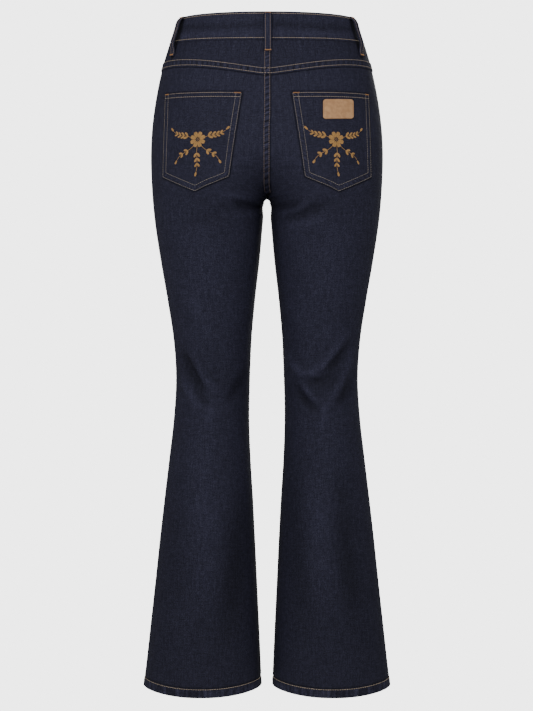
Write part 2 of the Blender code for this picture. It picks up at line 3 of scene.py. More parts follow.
import bmesh
import bpy
import numpy as np
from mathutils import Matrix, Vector


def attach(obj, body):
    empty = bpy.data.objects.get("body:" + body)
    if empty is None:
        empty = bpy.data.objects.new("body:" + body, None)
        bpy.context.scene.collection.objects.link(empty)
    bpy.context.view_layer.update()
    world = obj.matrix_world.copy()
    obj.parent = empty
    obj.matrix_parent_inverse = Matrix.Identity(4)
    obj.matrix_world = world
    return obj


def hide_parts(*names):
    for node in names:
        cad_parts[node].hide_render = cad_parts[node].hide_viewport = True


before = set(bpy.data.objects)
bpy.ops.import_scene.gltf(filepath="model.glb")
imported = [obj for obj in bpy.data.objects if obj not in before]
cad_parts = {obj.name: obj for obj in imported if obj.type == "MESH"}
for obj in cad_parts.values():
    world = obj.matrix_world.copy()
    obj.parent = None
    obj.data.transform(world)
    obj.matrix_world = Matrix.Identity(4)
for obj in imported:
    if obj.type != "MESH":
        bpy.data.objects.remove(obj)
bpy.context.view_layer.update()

# ------------------------------------------------------------------ studio
# A white room with a pale round floor some way under the feet. The camera
# stands behind the jeans, level with their middle, as in the photograph.
MM = 0.001
CAMERA_ASIDE, CAMERA_AWAY, CAMERA_LEVEL = 0.7 * MM, 3.4, -0.5185
PICTURE_ROWS, ROW_TALL = 711, 1.55
PICTURE_TALL = PICTURE_ROWS * ROW_TALL * MM

camera_data = bpy.data.cameras.new("photo_camera")
camera_data.lens = camera_data.sensor_width * CAMERA_AWAY / PICTURE_TALL
camera = bpy.data.objects.new("photo_camera", camera_data)
camera.location = (CAMERA_ASIDE, CAMERA_AWAY, CAMERA_LEVEL)
camera.rotation_euler = (math.pi / 2, 0, math.pi)
bpy.context.scene.collection.objects.link(camera)
bpy.context.scene.camera = camera

AIM = Vector((0, 0, -0.5))
LAMPS = (  # name, place, width, watts
    ("key", (0.5, 3.2, 1.0), 1.6, 60),
    ("fill_left", (2.4, 1.6, -0.3), 1.2, 9.5),
    ("fill_right", (-2.4, 1.6, -0.3), 1.2, 8.5),
    ("front_fill", (-0.8, -3.0, 0.9), 1.8, 56),
)
for name, place, width, watts in LAMPS:
    disk = bpy.data.lights.new(name, "AREA")
    disk.shape, disk.size, disk.energy = "DISK", width, watts
    light = bpy.data.objects.new(name, disk)
    light.location = place
    light.rotation_euler = (AIM - light.location).to_track_quat("-Z", "Y").to_euler()
    bpy.context.scene.collection.objects.link(light)

DAYLIGHT, BACKDROP = 0.28, 5.0
room = bpy.data.worlds.new("white_room")
bpy.context.scene.world = room
room.use_nodes = True
room_nodes, room_links = room.node_tree.nodes, room.node_tree.links
daylight = room_nodes["Background"]
daylight.inputs["Color"].default_value = (1, 1, 1, 1)
daylight.inputs["Strength"].default_value = DAYLIGHT
backdrop = room_nodes.new("ShaderNodeBackground")
backdrop.inputs["Strength"].default_value = BACKDROP
seen = room_nodes.new("ShaderNodeLightPath")
either = room_nodes.new("ShaderNodeMixShader")
room_links.new(seen.outputs["Is Camera Ray"], either.inputs["Fac"])
room_links.new(daylight.outputs["Background"], either.inputs[1])
room_links.new(backdrop.outputs["Background"], either.inputs[2])
room_links.new(either.outputs["Shader"], room_nodes["World Output"].inputs["Surface"])

FLOOR_RADIUS, FLOOR_LEVEL, FLOOR_SIDES = 1.0, -1.25, 96
turn = np.linspace(0, 2 * np.pi, FLOOR_SIDES, endpoint=False)
floor_mesh = bpy.data.meshes.new("floor")
floor_mesh.from_pydata(
    np.stack([FLOOR_RADIUS * np.cos(turn), FLOOR_RADIUS * np.sin(turn),
              0 * turn + FLOOR_LEVEL], axis=1).tolist(), [], [list(range(FLOOR_SIDES))])
floor = bpy.data.objects.new("floor", floor_mesh)
bpy.context.scene.collection.objects.link(floor)
floor_paint = bpy.data.materials.new("floor_paint")
floor_paint.use_nodes = True
paint = floor_paint.node_tree.nodes["Principled BSDF"]
paint.inputs["Base Color"].default_value = (0.86, 0.86, 0.85, 1)
paint.inputs["Roughness"].default_value = 0.8
floor_mesh.materials.append(floor_paint)

# --------------------------------------------------------------- back legs
# The two back legs are cut from stretch denim and run from the yoke seam to
# the hem, where the cloth turns up inside. All the other pieces lie on the
# same body form, so the form and the denim are worked out here.
CLOTH = 1.3 * MM
WAIST_SEAM = -44.5 * MM
SIDE_LIFT = 4 * MM
YOKE_CENTRE, YOKE_SIDE, YOKE_ROUND = -98 * MM, -80 * MM, 0.55
CROTCH = -276.5 * MM
CLEFT, CLEFT_ROUND = 110 * MM, 1.2
HEM_LEVEL = -1027.5 * MM
HEEL_DROP, TOE_LIFT = 10 * MM, 3 * MM
HEM_TURN = 1.65 * MM
SEAT_STRIP, FLY_STRIP = 8 * MM, 22 * MM
YOKE_EASE, HEM_EASE = 75 * MM, 80 * MM
TURN_STEP, LEVEL_STEP = 1e-4, 1e-5
ROW_STEP = 2.8 * MM
SIDES = (("left", 1), ("right", -1))

FORM_COLUMNS = ("level", "outer", "inner", "side", "back", "front", "square")
FORM = (
    (10, 136.0, -136.0, 0, 96.0, 102.0, 2.20),
    (0, 138.5, -138.5, 0, 98.0, 103.0, 2.20),
    (-23, 145.0, -145.0, 0, 102.5, 106.0, 2.22),
    (-45, 152.8, -152.8, 0, 107.0, 108.0, 2.25),
    (-76, 161.8, -160.0, 1, 113.5, 110.0, 2.28),
    (-122, 171.4, -143.0, 2, 122.0, 111.0, 2.30),
    (-168, 177.4, -101.0, 3, 128.5, 110.5, 2.30),
    (-215, 179.3, -55.0, 4, 130.5, 108.0, 2.26),
    (-246, 178.5, -23.0, 4, 127.0, 104.5, 2.20),
    (-277, 176.7, 3.8, 4, 119.5, 99.5, 2.14),
    (-308, 173.8, 6.7, 3, 110.5, 95.0, 2.10),
    (-370, 164.7, 12.2, 1, 92.5, 89.0, 2.04),
    (-432, 154.1, 19.2, -2, 77.0, 84.0, 2.00),
    (-494, 144.8, 24.6, -5, 65.0, 79.0, 2.00),
    (-556, 141.2, 27.0, -7, 57.0, 75.0, 2.00),
    (-618, 144.7, 28.2, -5, 59.0, 72.0, 2.02),
    (-680, 151.7, 26.0, -2, 64.0, 70.0, 2.05),
    (-742, 159.0, 22.0, 0, 68.5, 68.0, 2.08),
    (-804, 166.0, 18.8, 2, 72.5, 67.0, 2.10),
    (-866, 172.5, 16.1, 3, 75.5, 66.5, 2.12),
    (-928, 179.3, 13.3, 4, 78.0, 66.5, 2.14),
    (-990, 186.1, 10.6, 5, 80.0, 67.0, 2.15),
    (-1026, 190.3, 9.1, 5, 81.0, 67.5, 2.15),
    (-1045, 192.4, 8.2, 5, 81.5, 67.8, 2.15),
)

# Creases, in millimetres: a curve from 0 past 1 to 2, a trough where deep is
# above nought and a ridge where it is below. half: 1 back, -1 front; leg: 1
# the wearer's left, -1 right.
CREASE_COLUMNS = ("half", "leg", "x0", "z0", "x1", "z1", "x2", "z2", "wide", "deep")
CREASES = (
    # under the seat
    (1, 1, 10, -292, 65, -305, 120, -318, 15, 2.4),
    (1, -1, 10, -290, 61, -299, 112, -308, 15, 2.2),
    (1, 1, 4, -289, 25, -296, 50, -287, 5.5, 3.5),
    (1, 1, 10, -281, 38, -284, 66, -276, 6, -2.2),
    (1, 1, 8, -300, 40, -312, 78, -306, 6.8, -1.7),
    (1, -1, 4, -289, 28, -297, 52, -292, 5.5, 2.6),
    (1, -1, 24, -312, 54, -312, 86, -290, 5.5, 3.6),
    (1, -1, 18, -303, 42, -301, 66, -288, 5.1, -2.6),
    (1, -1, 22, -324, 60, -326, 98, -304, 7.6, -1.7),
    (1, 1, 60, -276, 105, -292, 140, -270, 14, 1),
    (1, -1, 62, -280, 105, -296, 142, -268, 14, 0.9),
    # behind the left knee
    (1, 1, 134, -520, 98, -546, 62, -572, 18, 1.8),
    (1, 1, 131, -508, 116, -545, 96, -574, 6.8, 3.8),
    (1, 1, 117, -512, 101, -556, 70, -578, 6.8, -3.5),
    (1, 1, 131, -553, 119, -580, 99, -603, 6, -2.9),
    (1, 1, 86, -584, 84, -608, 88, -634, 6.8, -2.2),
    (1, 1, 31, -536, 40, -570, 62, -590, 8.5, 2.6),
    (1, 1, 112, -560, 98, -592, 84, -596, 6, 1.7),
    (1, 1, 122, -428, 110, -450, 96, -470, 9.3, -1.6),
    # behind the right knee
    (1, -1, 136, -540, 96, -560, 56, -580, 18, 1.6),
    (1, -1, 30, -516, 60, -590, 122, -486, 6, -3.8),
    (1, -1, 84, -543, 108, -532, 130, -494, 6.8, 4.3),
    (1, -1, 58, -556, 76, -562, 98, -550, 6, 2.6),
    (1, -1, 131, -509, 120, -562, 88, -598, 6, -3.2),
    (1, -1, 88, -594, 86, -612, 83, -636, 5.1, -2.8),
    (1, -1, 42, -564, 55, -592, 82, -606, 6, 3.8),
    (1, -1, 50, -556, 62, -576, 77, -588, 5.1, -2.9),
    (1, -1, 130, -554, 121, -580, 106, -597, 6.8, 3.3),
    # down the calves
    (1, 1, 40, -730, 43, -830, 60, -965, 22, 2.5),
    (1, 1, 98, -640, 96, -770, 92, -900, 24, -1.4),
    (1, 1, 132, -720, 140, -800, 143, -900, 18, 0.9),
    (1, -1, 40, -655, 40, -800, 56, -955, 20, 1.7),
    (1, -1, 82, -680, 80, -790, 82, -900, 22, -1.3),
    (1, -1, 112, -690, 122, -800, 137, -955, 19, 2.4),
    # front: from the crotch to the hips, over and under the knees, down the shins
    (-1, 1, 12, -266, 62, -246, 112, -226, 16, 3),
    (-1, -1, 12, -268, 65, -253, 118, -238, 16, 3),
    (-1, 1, 6, -262, 40, -250, 84, -216, 5.5, 3.2),
    (-1, 1, 10, -252, 44, -236, 78, -204, 6, -2.3),
    (-1, 1, 14, -284, 50, -282, 98, -258, 6, 2.9),
    (-1, 1, 20, -240, 58, -214, 96, -186, 7.6, 1.4),
    (-1, -1, 6, -260, 44, -252, 92, -222, 5.5, 3),
    (-1, -1, 12, -250, 48, -240, 86, -212, 6, -2.3),
    (-1, -1, 16, -286, 56, -288, 104, -262, 6, 2.6),
    (-1, -1, 22, -236, 54, -220, 90, -182, 7.6, 1.3),
    (-1, 1, 38, -596, 78, -606, 118, -616, 18, 1.6),
    (-1, 1, 34, -566, 70, -600, 104, -584, 6.8, 2.9),
    (-1, 1, 44, -556, 76, -586, 110, -572, 6.8, -2.3),
    (-1, 1, 52, -624, 84, -650, 124, -628, 7.6, 2.3),
    (-1, -1, 40, -584, 80, -597, 120, -610, 18, 1.6),
    (-1, -1, 36, -576, 78, -612, 118, -588, 6.8, 3),
    (-1, -1, 46, -562, 80, -596, 112, -574, 6.8, -2.3),
    (-1, -1, 48, -636, 86, -656, 120, -640, 7.6, 2.2),
    (-1, 1, 92, -660, 94, -800, 100, -950, 24, -2.2),
    (-1, 1, 52, -700, 50, -820, 58, -960, 20, 2.2),
    (-1, -1, 88, -670, 92, -810, 104, -940, 24, -2.2),
    (-1, -1, 50, -720, 46, -840, 52, -950, 20, 2),
)


def form_at(level, name):
    """One column of the form at any level: a cubic through its rows."""
    table = np.array(FORM)[::-1]
    heights = table[:, 0] * MM
    values = table[:, FORM_COLUMNS.index(name)] * (1 if name == "square" else MM)
    slopes = np.gradient(values, heights)
    level = np.clip(level, heights[0], heights[-1])
    row = np.clip(np.searchsorted(heights, level) - 1, 0, len(heights) - 2)
    span = heights[row + 1] - heights[row]
    t = (level - heights[row]) / span
    return ((1 + 2 * t) * (1 - t) ** 2 * values[row]
            + t * (1 - t) ** 2 * span * slopes[row]
            + t * t * (3 - 2 * t) * values[row + 1]
            - t * t * (1 - t) * span * slopes[row + 1])


def ease(t):
    """0 to 1 with level ends."""
    t = np.clip(t, 0.0, 1.0)
    return t * t * (3 - 2 * t)


def ramp(off, wide):
    """0 to 1 with level ends, over the given millimetres."""
    return ease(off / (wide * MM))


def bell(off, wide):
    """A bell curve: 1 at nought, and 0.37 the given millimetres from it."""
    return np.exp(-(off / (wide * MM)) ** 2)


def lengths(points, axis):
    """Distances along the lines of a grid of points, from their first points."""
    step = np.linalg.norm(np.diff(points, axis=axis), axis=-1)
    start = 0 * np.take(step, [0], axis)
    return np.concatenate([start, np.cumsum(step, axis=axis)], axis=axis)


def section(level):
    """Crest from the mid plane, and the half widths outside and inside it."""
    outer, inner = form_at(level, "outer"), form_at(level, "inner")
    crest = np.maximum((outer + inner) / 2, 0)
    above = level - CROTCH
    below_crotch = crest - inner * np.sqrt(1 - np.exp(np.minimum(above, 0) / (4 * MM)))
    parting = 1 - (np.clip(above, 0, CLEFT) / CLEFT) ** CLEFT_ROUND
    above_crotch = np.maximum(crest / np.maximum(parting, 0.02), MM)
    return crest, outer - crest, np.where(above > 0, above_crotch, below_crotch)


def last_angle(level):
    """Angle at which the form meets the mid plane, or the inseam below it."""
    crest, _, inner_half = section(level)
    reach = np.where(level <= CROTCH, 1.0, np.clip(crest / inner_half, 0, 1))
    return math.pi / 2 + np.arcsin(reach ** (form_at(level, "square") / 2))


def angle_at(x, level):
    """Angle of the point of the form at distance x from the mid plane."""
    crest, outer_half, inner_half = section(level)
    reach = np.clip((x - crest) / np.where(x > crest, outer_half, inner_half), -1.0, 1.0)
    return np.arccos(np.sign(reach) * np.abs(reach) ** (form_at(level, "square") / 2))


def bare_form(angle, level, half):
    """The left half of the body form: at each level two squared ellipses
    about the crest, with the groove between the legs bridged above the crotch."""
    crest, outer_half, inner_half = section(level)
    square, side = form_at(level, "square"), form_at(level, "side")
    depth = np.where(half > 0, form_at(level, "back") - side,
                     form_at(level, "front") + side)
    across = np.abs(np.cos(angle)) ** (2 / square)
    x = crest + np.where(np.cos(angle) > 0, outer_half * across, -inner_half * across)
    y = depth * np.abs(np.sin(angle)) ** (2 / square)
    strip = np.where(half > 0, SEAT_STRIP, FLY_STRIP)
    reach = np.clip(crest / inner_half, 0.0, 0.97)
    slope = depth / inner_half * reach ** (square - 1)
    slope = slope / (1 - reach ** square) ** ((square - 1) / square)
    bridge = np.minimum(slope, 1.0) * ramp(level - CROTCH, 25)
    bridge = bridge * ramp(CROTCH + CLEFT - level, 15)
    y = y + strip * bridge * np.exp(-np.maximum(x, 0) / strip)
    return np.stack([x, side + half * y, level + 0 * x], axis=-1)


def outward(angle, level, half):
    """Unit vectors out of the form: the cross product of its two slopes."""
    angle = np.clip(angle, 0.01, last_angle(level) - 0.004)
    along = (bare_form(angle + TURN_STEP, level, half)
             - bare_form(angle - TURN_STEP, level, half))
    down = (bare_form(angle, level - LEVEL_STEP, half)
            - bare_form(angle, level + LEVEL_STEP, half))
    out = np.cross(down, along) * np.asarray(half)[..., None]
    return out / np.linalg.norm(out, axis=-1, keepdims=True)


def crease_field(x, z, half, leg):
    """Depth of the creases at x, z: for each one its depth times a bell curve
    of the distance to its own curve, fading towards both ends."""
    total = np.zeros(np.shape(x))
    for line in CREASES:
        row = dict(zip(CREASE_COLUMNS, line))
        if row["half"] != half or row["leg"] != leg:
            continue
        t = np.linspace(0, 1, 11)
        weight = np.stack([(1 - t) ** 2, 2 * t * (1 - t), t * t])
        path = np.array([[row["x0"], row["z0"]], [row["x1"], row["z1"]],
                         [row["x2"], row["z2"]]]).T @ weight * MM
        run = np.diff(path, axis=1)
        reach_x, reach_z = x[..., None] - path[0, :-1], z[..., None] - path[1, :-1]
        share = np.clip((reach_x * run[0] + reach_z * run[1]) / (run ** 2).sum(0), 0, 1)
        off = np.hypot(reach_x - share * run[0], reach_z - share * run[1])
        nearest = off.argmin(-1)[..., None]
        along = (nearest + np.take_along_axis(share, nearest, -1))[..., 0] / 10
        off = np.take_along_axis(off, nearest, -1)[..., 0]
        fade = np.sin(np.pi * (0.06 + 0.88 * along))
        total += row["deep"] * MM * fade * bell(off, row["wide"])
    return total


def pucker(along, pitch):
    """An uneven ripple: two waves of unlike length that swell and fade."""
    turn = 2 * np.pi * along / pitch
    return (0.6 * np.sin(turn + 1.3 * np.sin(0.21 * turn))
            + 0.4 * np.sin(1.63 * turn + 1.8 * np.sin(0.13 * turn)))


def drawn_in(points, half, leg):
    """How far the cloth lies inside the form: its creases, shared out between
    the two pieces at each seam, and the puckers and groove of the seams."""
    x, y, z = points[..., 0], points[..., 1], points[..., 2]
    own = crease_field(x, z, half, leg)
    off_seam = np.abs(y - form_at(z, "side"))
    by_seam = 0.5 * (1 - ramp(off_seam, 24))
    by_middle = 0.5 * (1 - ramp(x, 20)) * ramp(z - CROTCH, 4)
    total = own + by_seam * (crease_field(x, z, -half, leg) - own)
    total = total + by_middle * (crease_field(x, z, half, -leg) - own)
    below_yoke = ramp(YOKE_SIDE - 6 * MM - z, 14)
    ripple = 0.22 * MM * pucker(z + 0.3 * leg, 11 * MM) * bell(off_seam, 6)
    groove = 0.8 * MM * bell(off_seam, 1.5)
    return total + below_yoke * (ripple + groove)


def on_form(angle, level, half, leg, lift=0.0):
    """Points on the creased cloth of one half, lifted off it, and the way out.
    On the seams the way out keeps to the seam's own plane."""
    angle, level = np.broadcast_arrays(np.asarray(angle, float), level)
    out = outward(angle, level, half)
    on_seam = (angle < 0.02) | ((angle > math.pi - 0.02) & (level < CROTCH - MM))
    out[..., 1] = np.where(on_seam, 0.0, out[..., 1])
    on_middle = (angle > last_angle(level) - 0.005) & (level > CROTCH - 0.5 * MM)
    out[..., 0] = np.where(on_middle, 0.0, out[..., 0])
    out[on_middle & (np.abs(level - CROTCH) < 0.5 * MM)] = (0.0, 0.0, -1.0)
    out = out / np.linalg.norm(out, axis=-1, keepdims=True)
    points = bare_form(angle, level, half)
    depth = np.asarray(lift) - drawn_in(points, half, leg)
    mirror = np.array([leg, 1, 1])
    return (points + out * depth[..., None]) * mirror, out * mirror


def beside(angle, level, half, distance):
    """A path moved sideways along the cloth, to its right seen from outside:
    the step that has the wanted length and direction on the form's two slopes."""
    here = bare_form(angle, level, half)
    by_angle = (bare_form(angle + TURN_STEP, level, half) - here) / TURN_STEP
    by_level = (bare_form(angle, level + LEVEL_STEP, half) - here) / LEVEL_STEP
    ahead = np.gradient(here, axis=0)
    step = np.cross(ahead, outward(angle, level, half))
    step = step / np.linalg.norm(step, axis=-1, keepdims=True) * distance
    aa, al, ll = ((by_angle ** 2).sum(-1), (by_angle * by_level).sum(-1),
                  (by_level ** 2).sum(-1))
    sa, sl = (step * by_angle).sum(-1), (step * by_level).sum(-1)
    found = aa * ll - al * al
    return angle + (sa * ll - sl * al) / found, level + (sl * aa - sa * al) / found


def waist_seam(angle):
    """The waist seam lies a little higher at the sides."""
    return WAIST_SEAM + SIDE_LIFT * np.cos(angle) ** 2


def yoke_seam(angle):
    """The yoke seam falls to a shallow point at the centre back."""
    aside = np.abs(np.cos(angle))
    share = (1 + YOKE_ROUND) * aside - YOKE_ROUND * aside ** 3
    return YOKE_CENTRE + (YOKE_SIDE - YOKE_CENTRE) * share


def hem_level(angle, half):
    """The hem drops at the heel and rises over the foot, by a squared sine."""
    return HEM_LEVEL + (-HEEL_DROP if half > 0 else TOE_LIFT) * np.sin(angle) ** 2


def panel_rows(top):
    """Levels down a panel: even steps, closer round the crotch and at the hem."""
    above = CROTCH + 66 * MM * np.linspace(1, 0, 27) ** 2
    below = CROTCH - np.array([0.6, 1.5, 2.8, 4.5, 6.6, 9.2]) * MM
    upper = np.linspace(top, above[0], round((top - above[0]) / ROW_STEP))[:-1]
    lower = np.linspace(CROTCH - 12 * MM, HEM_LEVEL + 18 * MM, 262)
    foot = np.linspace(HEM_LEVEL + 18 * MM, HEM_LEVEL + HEM_TURN, 15)[1:]
    return np.concatenate([upper, above, below, lower, foot])


def across_panel(level, start, half, columns=62):
    """Angles across a panel in each row, evenly along the cloth and closer
    together beside the two seams."""
    beside_seam = np.array([0, 1.0, 2.2, 4.2, 6.4, 8.0, 9.2]) * MM
    start, level = np.asarray(start)[:, None], np.asarray(level)[:, None]
    angle = start + np.linspace(0, 1, 200)[None, :] * (last_angle(level) - start)
    rows = []
    for along, turned in zip(lengths(bare_form(angle, level, half), 1), angle):
        want = np.concatenate([beside_seam, np.linspace(12 * MM, along[-1] - 12 * MM, columns),
                               along[-1] - beside_seam[::-1]])
        rows.append(np.interp(want, along, turned))
    return np.array(rows)


def to_middle(angle, level, new_level):
    """Angles kept on the mid plane when a row's level has been shifted."""
    return angle * last_angle(new_level) / last_angle(level)


def bent_rows(angle, rows, half, top, reach, seam):
    """Angles and levels of a leg's rows, which bend with the seam at the top
    over the given reach, and with the hem at the foot."""
    near_top = 1 - ease((top - rows) / reach)
    near_hem = 1 - ease((rows - HEM_LEVEL) / HEM_EASE)
    level = rows + near_top * (seam - top) + near_hem * (hem_level(angle, half) - HEM_LEVEL)
    return to_middle(angle, rows, level), level


def turned_up(angle, level, half, leg, lift):
    """A panel's outside, and the same grid moved in by the cloth. Below the
    last level the cloth turns inwards round a half circle, up inside the leg."""
    outside, out = on_form(angle, level, half, leg, lift)
    turn = np.radians([18, 42, 66, 90, 114, 138, 162, 180])[:, None]
    foot = np.broadcast_to(angle[-1:], (len(turn), angle.shape[1]))
    low = level[-1:] - HEM_TURN * np.sin(turn)
    under, under_out = on_form(foot, low, half, leg,
                               lift[-1:] - HEM_TURN * (1 - np.cos(turn)))
    turned = turn[..., None]
    way = under_out * np.cos(turned) + np.array([0, 0, -1.0]) * np.sin(turned)
    outside = np.concatenate([outside, under])
    return outside, outside - np.concatenate([out, way]) * CLOTH


def cloth_lengths(outside, level):
    """The cloth's own coordinates: metres along each row, and down the rows."""
    middle = outside.shape[1] // 2
    across, down = lengths(outside, 1), lengths(outside[:, middle], 0)
    tilt = np.zeros_like(across)
    tilt[:len(level)] = level - level.mean(axis=1, keepdims=True)
    return np.stack([across - across[:, middle, None], tilt - down[:, None]], axis=-1)


def grid_faces(number):
    """The four-sided faces of a grid of point numbers."""
    return np.stack([number[:-1, :-1], number[1:, :-1], number[1:, 1:],
                     number[:-1, 1:]], axis=-1).reshape(-1, 4)


def add_mesh(name, points, faces, finishes, finish_of=None, cloth_map=None, marks=None):
    """An object made from points and lists of their numbers; for each face its
    finish and its corners' places on the cloth, for each point its named marks."""
    mesh = bpy.data.meshes.new(name)
    mesh.from_pydata(points.tolist(), [], faces)
    for finish in finishes:
        mesh.materials.append(finish)
    if finish_of is not None:
        mesh.polygons.foreach_set("material_index", finish_of.astype(np.int32))
    if cloth_map is not None:
        layer = mesh.uv_layers.new(name="cloth")
        layer.data.foreach_set("uv", cloth_map.astype(np.float32).ravel())
    for mark, values in (marks or {}).items():
        layer = mesh.attributes.new(mark, "FLOAT", "POINT")
        layer.data.foreach_set("value", values.astype(np.float32).ravel())
    mesh.shade_smooth()
    piece = bpy.data.objects.new(name, mesh)
    bpy.context.scene.collection.objects.link(piece)
    return piece


def cloth_wall(name, outside, inside, cloth_map, finishes, wear_and_painted_light=None, ring=False,
               roped=None, edge_shade_and_dye=None):
    """A closed wall of cloth: the outside grid, the inside grid turned over,
    and a rim round the edges. A ring's last column joins its first. Where its
    wear mark is above nought its face is paler, and below nought darker: wear,
    and painted light and shade. Where roped it is gathered in small ropes, and
    where its edge mark nears 1 it is darker: painted shade beside a raised
    edge, with some darker dye."""
    rows, columns = outside.shape[:2]
    number = np.arange(rows * columns).reshape(rows, columns)
    place = np.arange(rows * cloth_map.shape[1]).reshape(rows, cloth_map.shape[1])
    if ring:
        number = np.hstack([number, number[:, :1]])
    deep = number + rows * columns
    faces = [grid_faces(number), grid_faces(deep)[:, ::-1]]
    places = [grid_faces(place), grid_faces(place)[:, ::-1]]
    edges = [(number[0], deep[0], place[0]), (deep[-1], number[-1], place[-1])]
    if not ring:
        edges += [(deep[:, 0], number[:, 0], place[:, 0]),
                  (number[:, -1], deep[:, -1], place[:, -1])]
    for first, second, at in edges:
        faces.append(grid_faces(np.stack([second, first])))
        places.append(grid_faces(np.stack([at, at])))
    inner = len(faces[0])
    faces, places = np.concatenate(faces), np.concatenate(places)
    points = np.concatenate([outside.reshape(-1, 3), inside.reshape(-1, 3)])
    a, b, c = (points[faces[:inner, k]] for k in (0, 1, 2))
    way_out = (outside - inside)[:-1, :columns - (not ring)].reshape(-1, 3)
    if (np.cross(b - a, c - a) * way_out).sum() < 0:
        faces, places = faces[:, ::-1], places[:, ::-1]
    finish_of = np.zeros(len(faces))
    finish_of[inner:2 * inner] = 1
    marks = {}
    for mark, values in (("wear_and_painted_light", wear_and_painted_light), ("roped", roped), ("edge_shade_and_dye", edge_shade_and_dye)):
        values = np.zeros(rows * columns) if values is None else values.ravel()
        marks[mark] = np.concatenate([values, 0 * values])
    return add_mesh(name, points, faces.tolist(), finishes, finish_of,
                    cloth_map.reshape(-1, 2)[places], marks)


def finish_sheet(piece, outside, node=None):
    """A finished sheet, in its node's place: it rides with the jeans, and the
    node's solid is hidden. Its longest row and longest column are measured but
    not used."""
    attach(piece, "root")
    wide, long = (float(lengths(outside, axis).max()) for axis in (1, 0))
    if node:
        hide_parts(node)


def near_edge(distance):
    """Closeness to a raised edge: 1 at it, 0 at 8 mm off, over 1 beneath. It
    sets how much painted shade, with some darker dye, the cloth gets there.
    """
    return np.clip(1 - distance / (8 * MM), 0, 1.5)


def node_group(name, inputs, outputs):
    """An empty shader node group with named sockets."""
    tree = bpy.data.node_groups.new(name, "ShaderNodeTree")
    for label, kind, value in inputs:
        tree.interface.new_socket(label, in_out="INPUT", socket_type=kind).default_value = value
    for label, kind in outputs:
        tree.interface.new_socket(label, in_out="OUTPUT", socket_type=kind)
    return tree, tree.nodes.new("NodeGroupInput"), tree.nodes.new("NodeGroupOutput")


def feed(tree, socket, value):
    """Links a socket to another, or sets it to a number or colour."""
    if isinstance(value, bpy.types.NodeSocket):
        tree.links.new(value, socket)
    else:
        socket.default_value = value


def calc(tree, operation, *values):
    """The output of one Math node."""
    node = tree.nodes.new("ShaderNodeMath")
    node.operation = operation
    for socket, value in zip(node.inputs, values):
        feed(tree, socket, value)
    return node.outputs[0]


def product(tree, *values):
    """Values multiplied together."""
    result = values[0]
    for value in values[1:]:
        result = calc(tree, "MULTIPLY", result, value)
    return result


def spread(tree, value, low, high, out_low, out_high):
    """A smooth step from one range of values to another."""
    node = tree.nodes.new("ShaderNodeMapRange")
    node.interpolation_type = "SMOOTHSTEP"
    for socket, number in zip(node.inputs, (value, low, high, out_low, out_high)):
        feed(tree, socket, number)
    return node.outputs[0]


def marked(tree, mark):
    """One of the marks that cloth_wall writes on a piece."""
    node = tree.nodes.new("ShaderNodeAttribute")
    node.attribute_name = mark
    return node.outputs["Fac"]


def blend(tree, share, first, second, kind="MIX"):
    """Two colours mixed."""
    node = tree.nodes.new("ShaderNodeMix")
    node.data_type = "RGBA"
    node.blend_type = kind
    feed(tree, node.inputs["Factor"], share)
    feed(tree, node.inputs["A"], first)
    feed(tree, node.inputs["B"], second)
    return node.outputs["Result"]


def grain(tree, place, stretch, detail=2.0, rough=0.5):
    """Noise with its own number of waves a metre each way."""
    scale = tree.nodes.new("ShaderNodeVectorMath")
    scale.operation = "MULTIPLY"
    feed(tree, scale.inputs[0], place)
    scale.inputs[1].default_value = stretch
    noise = tree.nodes.new("ShaderNodeTexNoise")
    noise.inputs["Scale"].default_value = 1.0
    noise.inputs["Detail"].default_value = detail
    noise.inputs["Roughness"].default_value = rough
    tree.links.new(scale.outputs[0], noise.inputs["Vector"])
    return noise.outputs["Fac"]


WARP_WIDE, PICK_TALL = 0.42 * MM, 0.50 * MM
SLUB_WAVES, GATHER_WAVES = (560, 34, 1), (225, 34, 1)
UNEVEN = (  # waves a metre across and down, detail, contrast
    ((24, 19, 1), 4.0, 0.05),
    ((620, 560, 1), 2.0, 0.34),
    ((60, 520, 1), 2.0, 0.12),
    ((190, 130, 1), 3.0, 0.13),
)


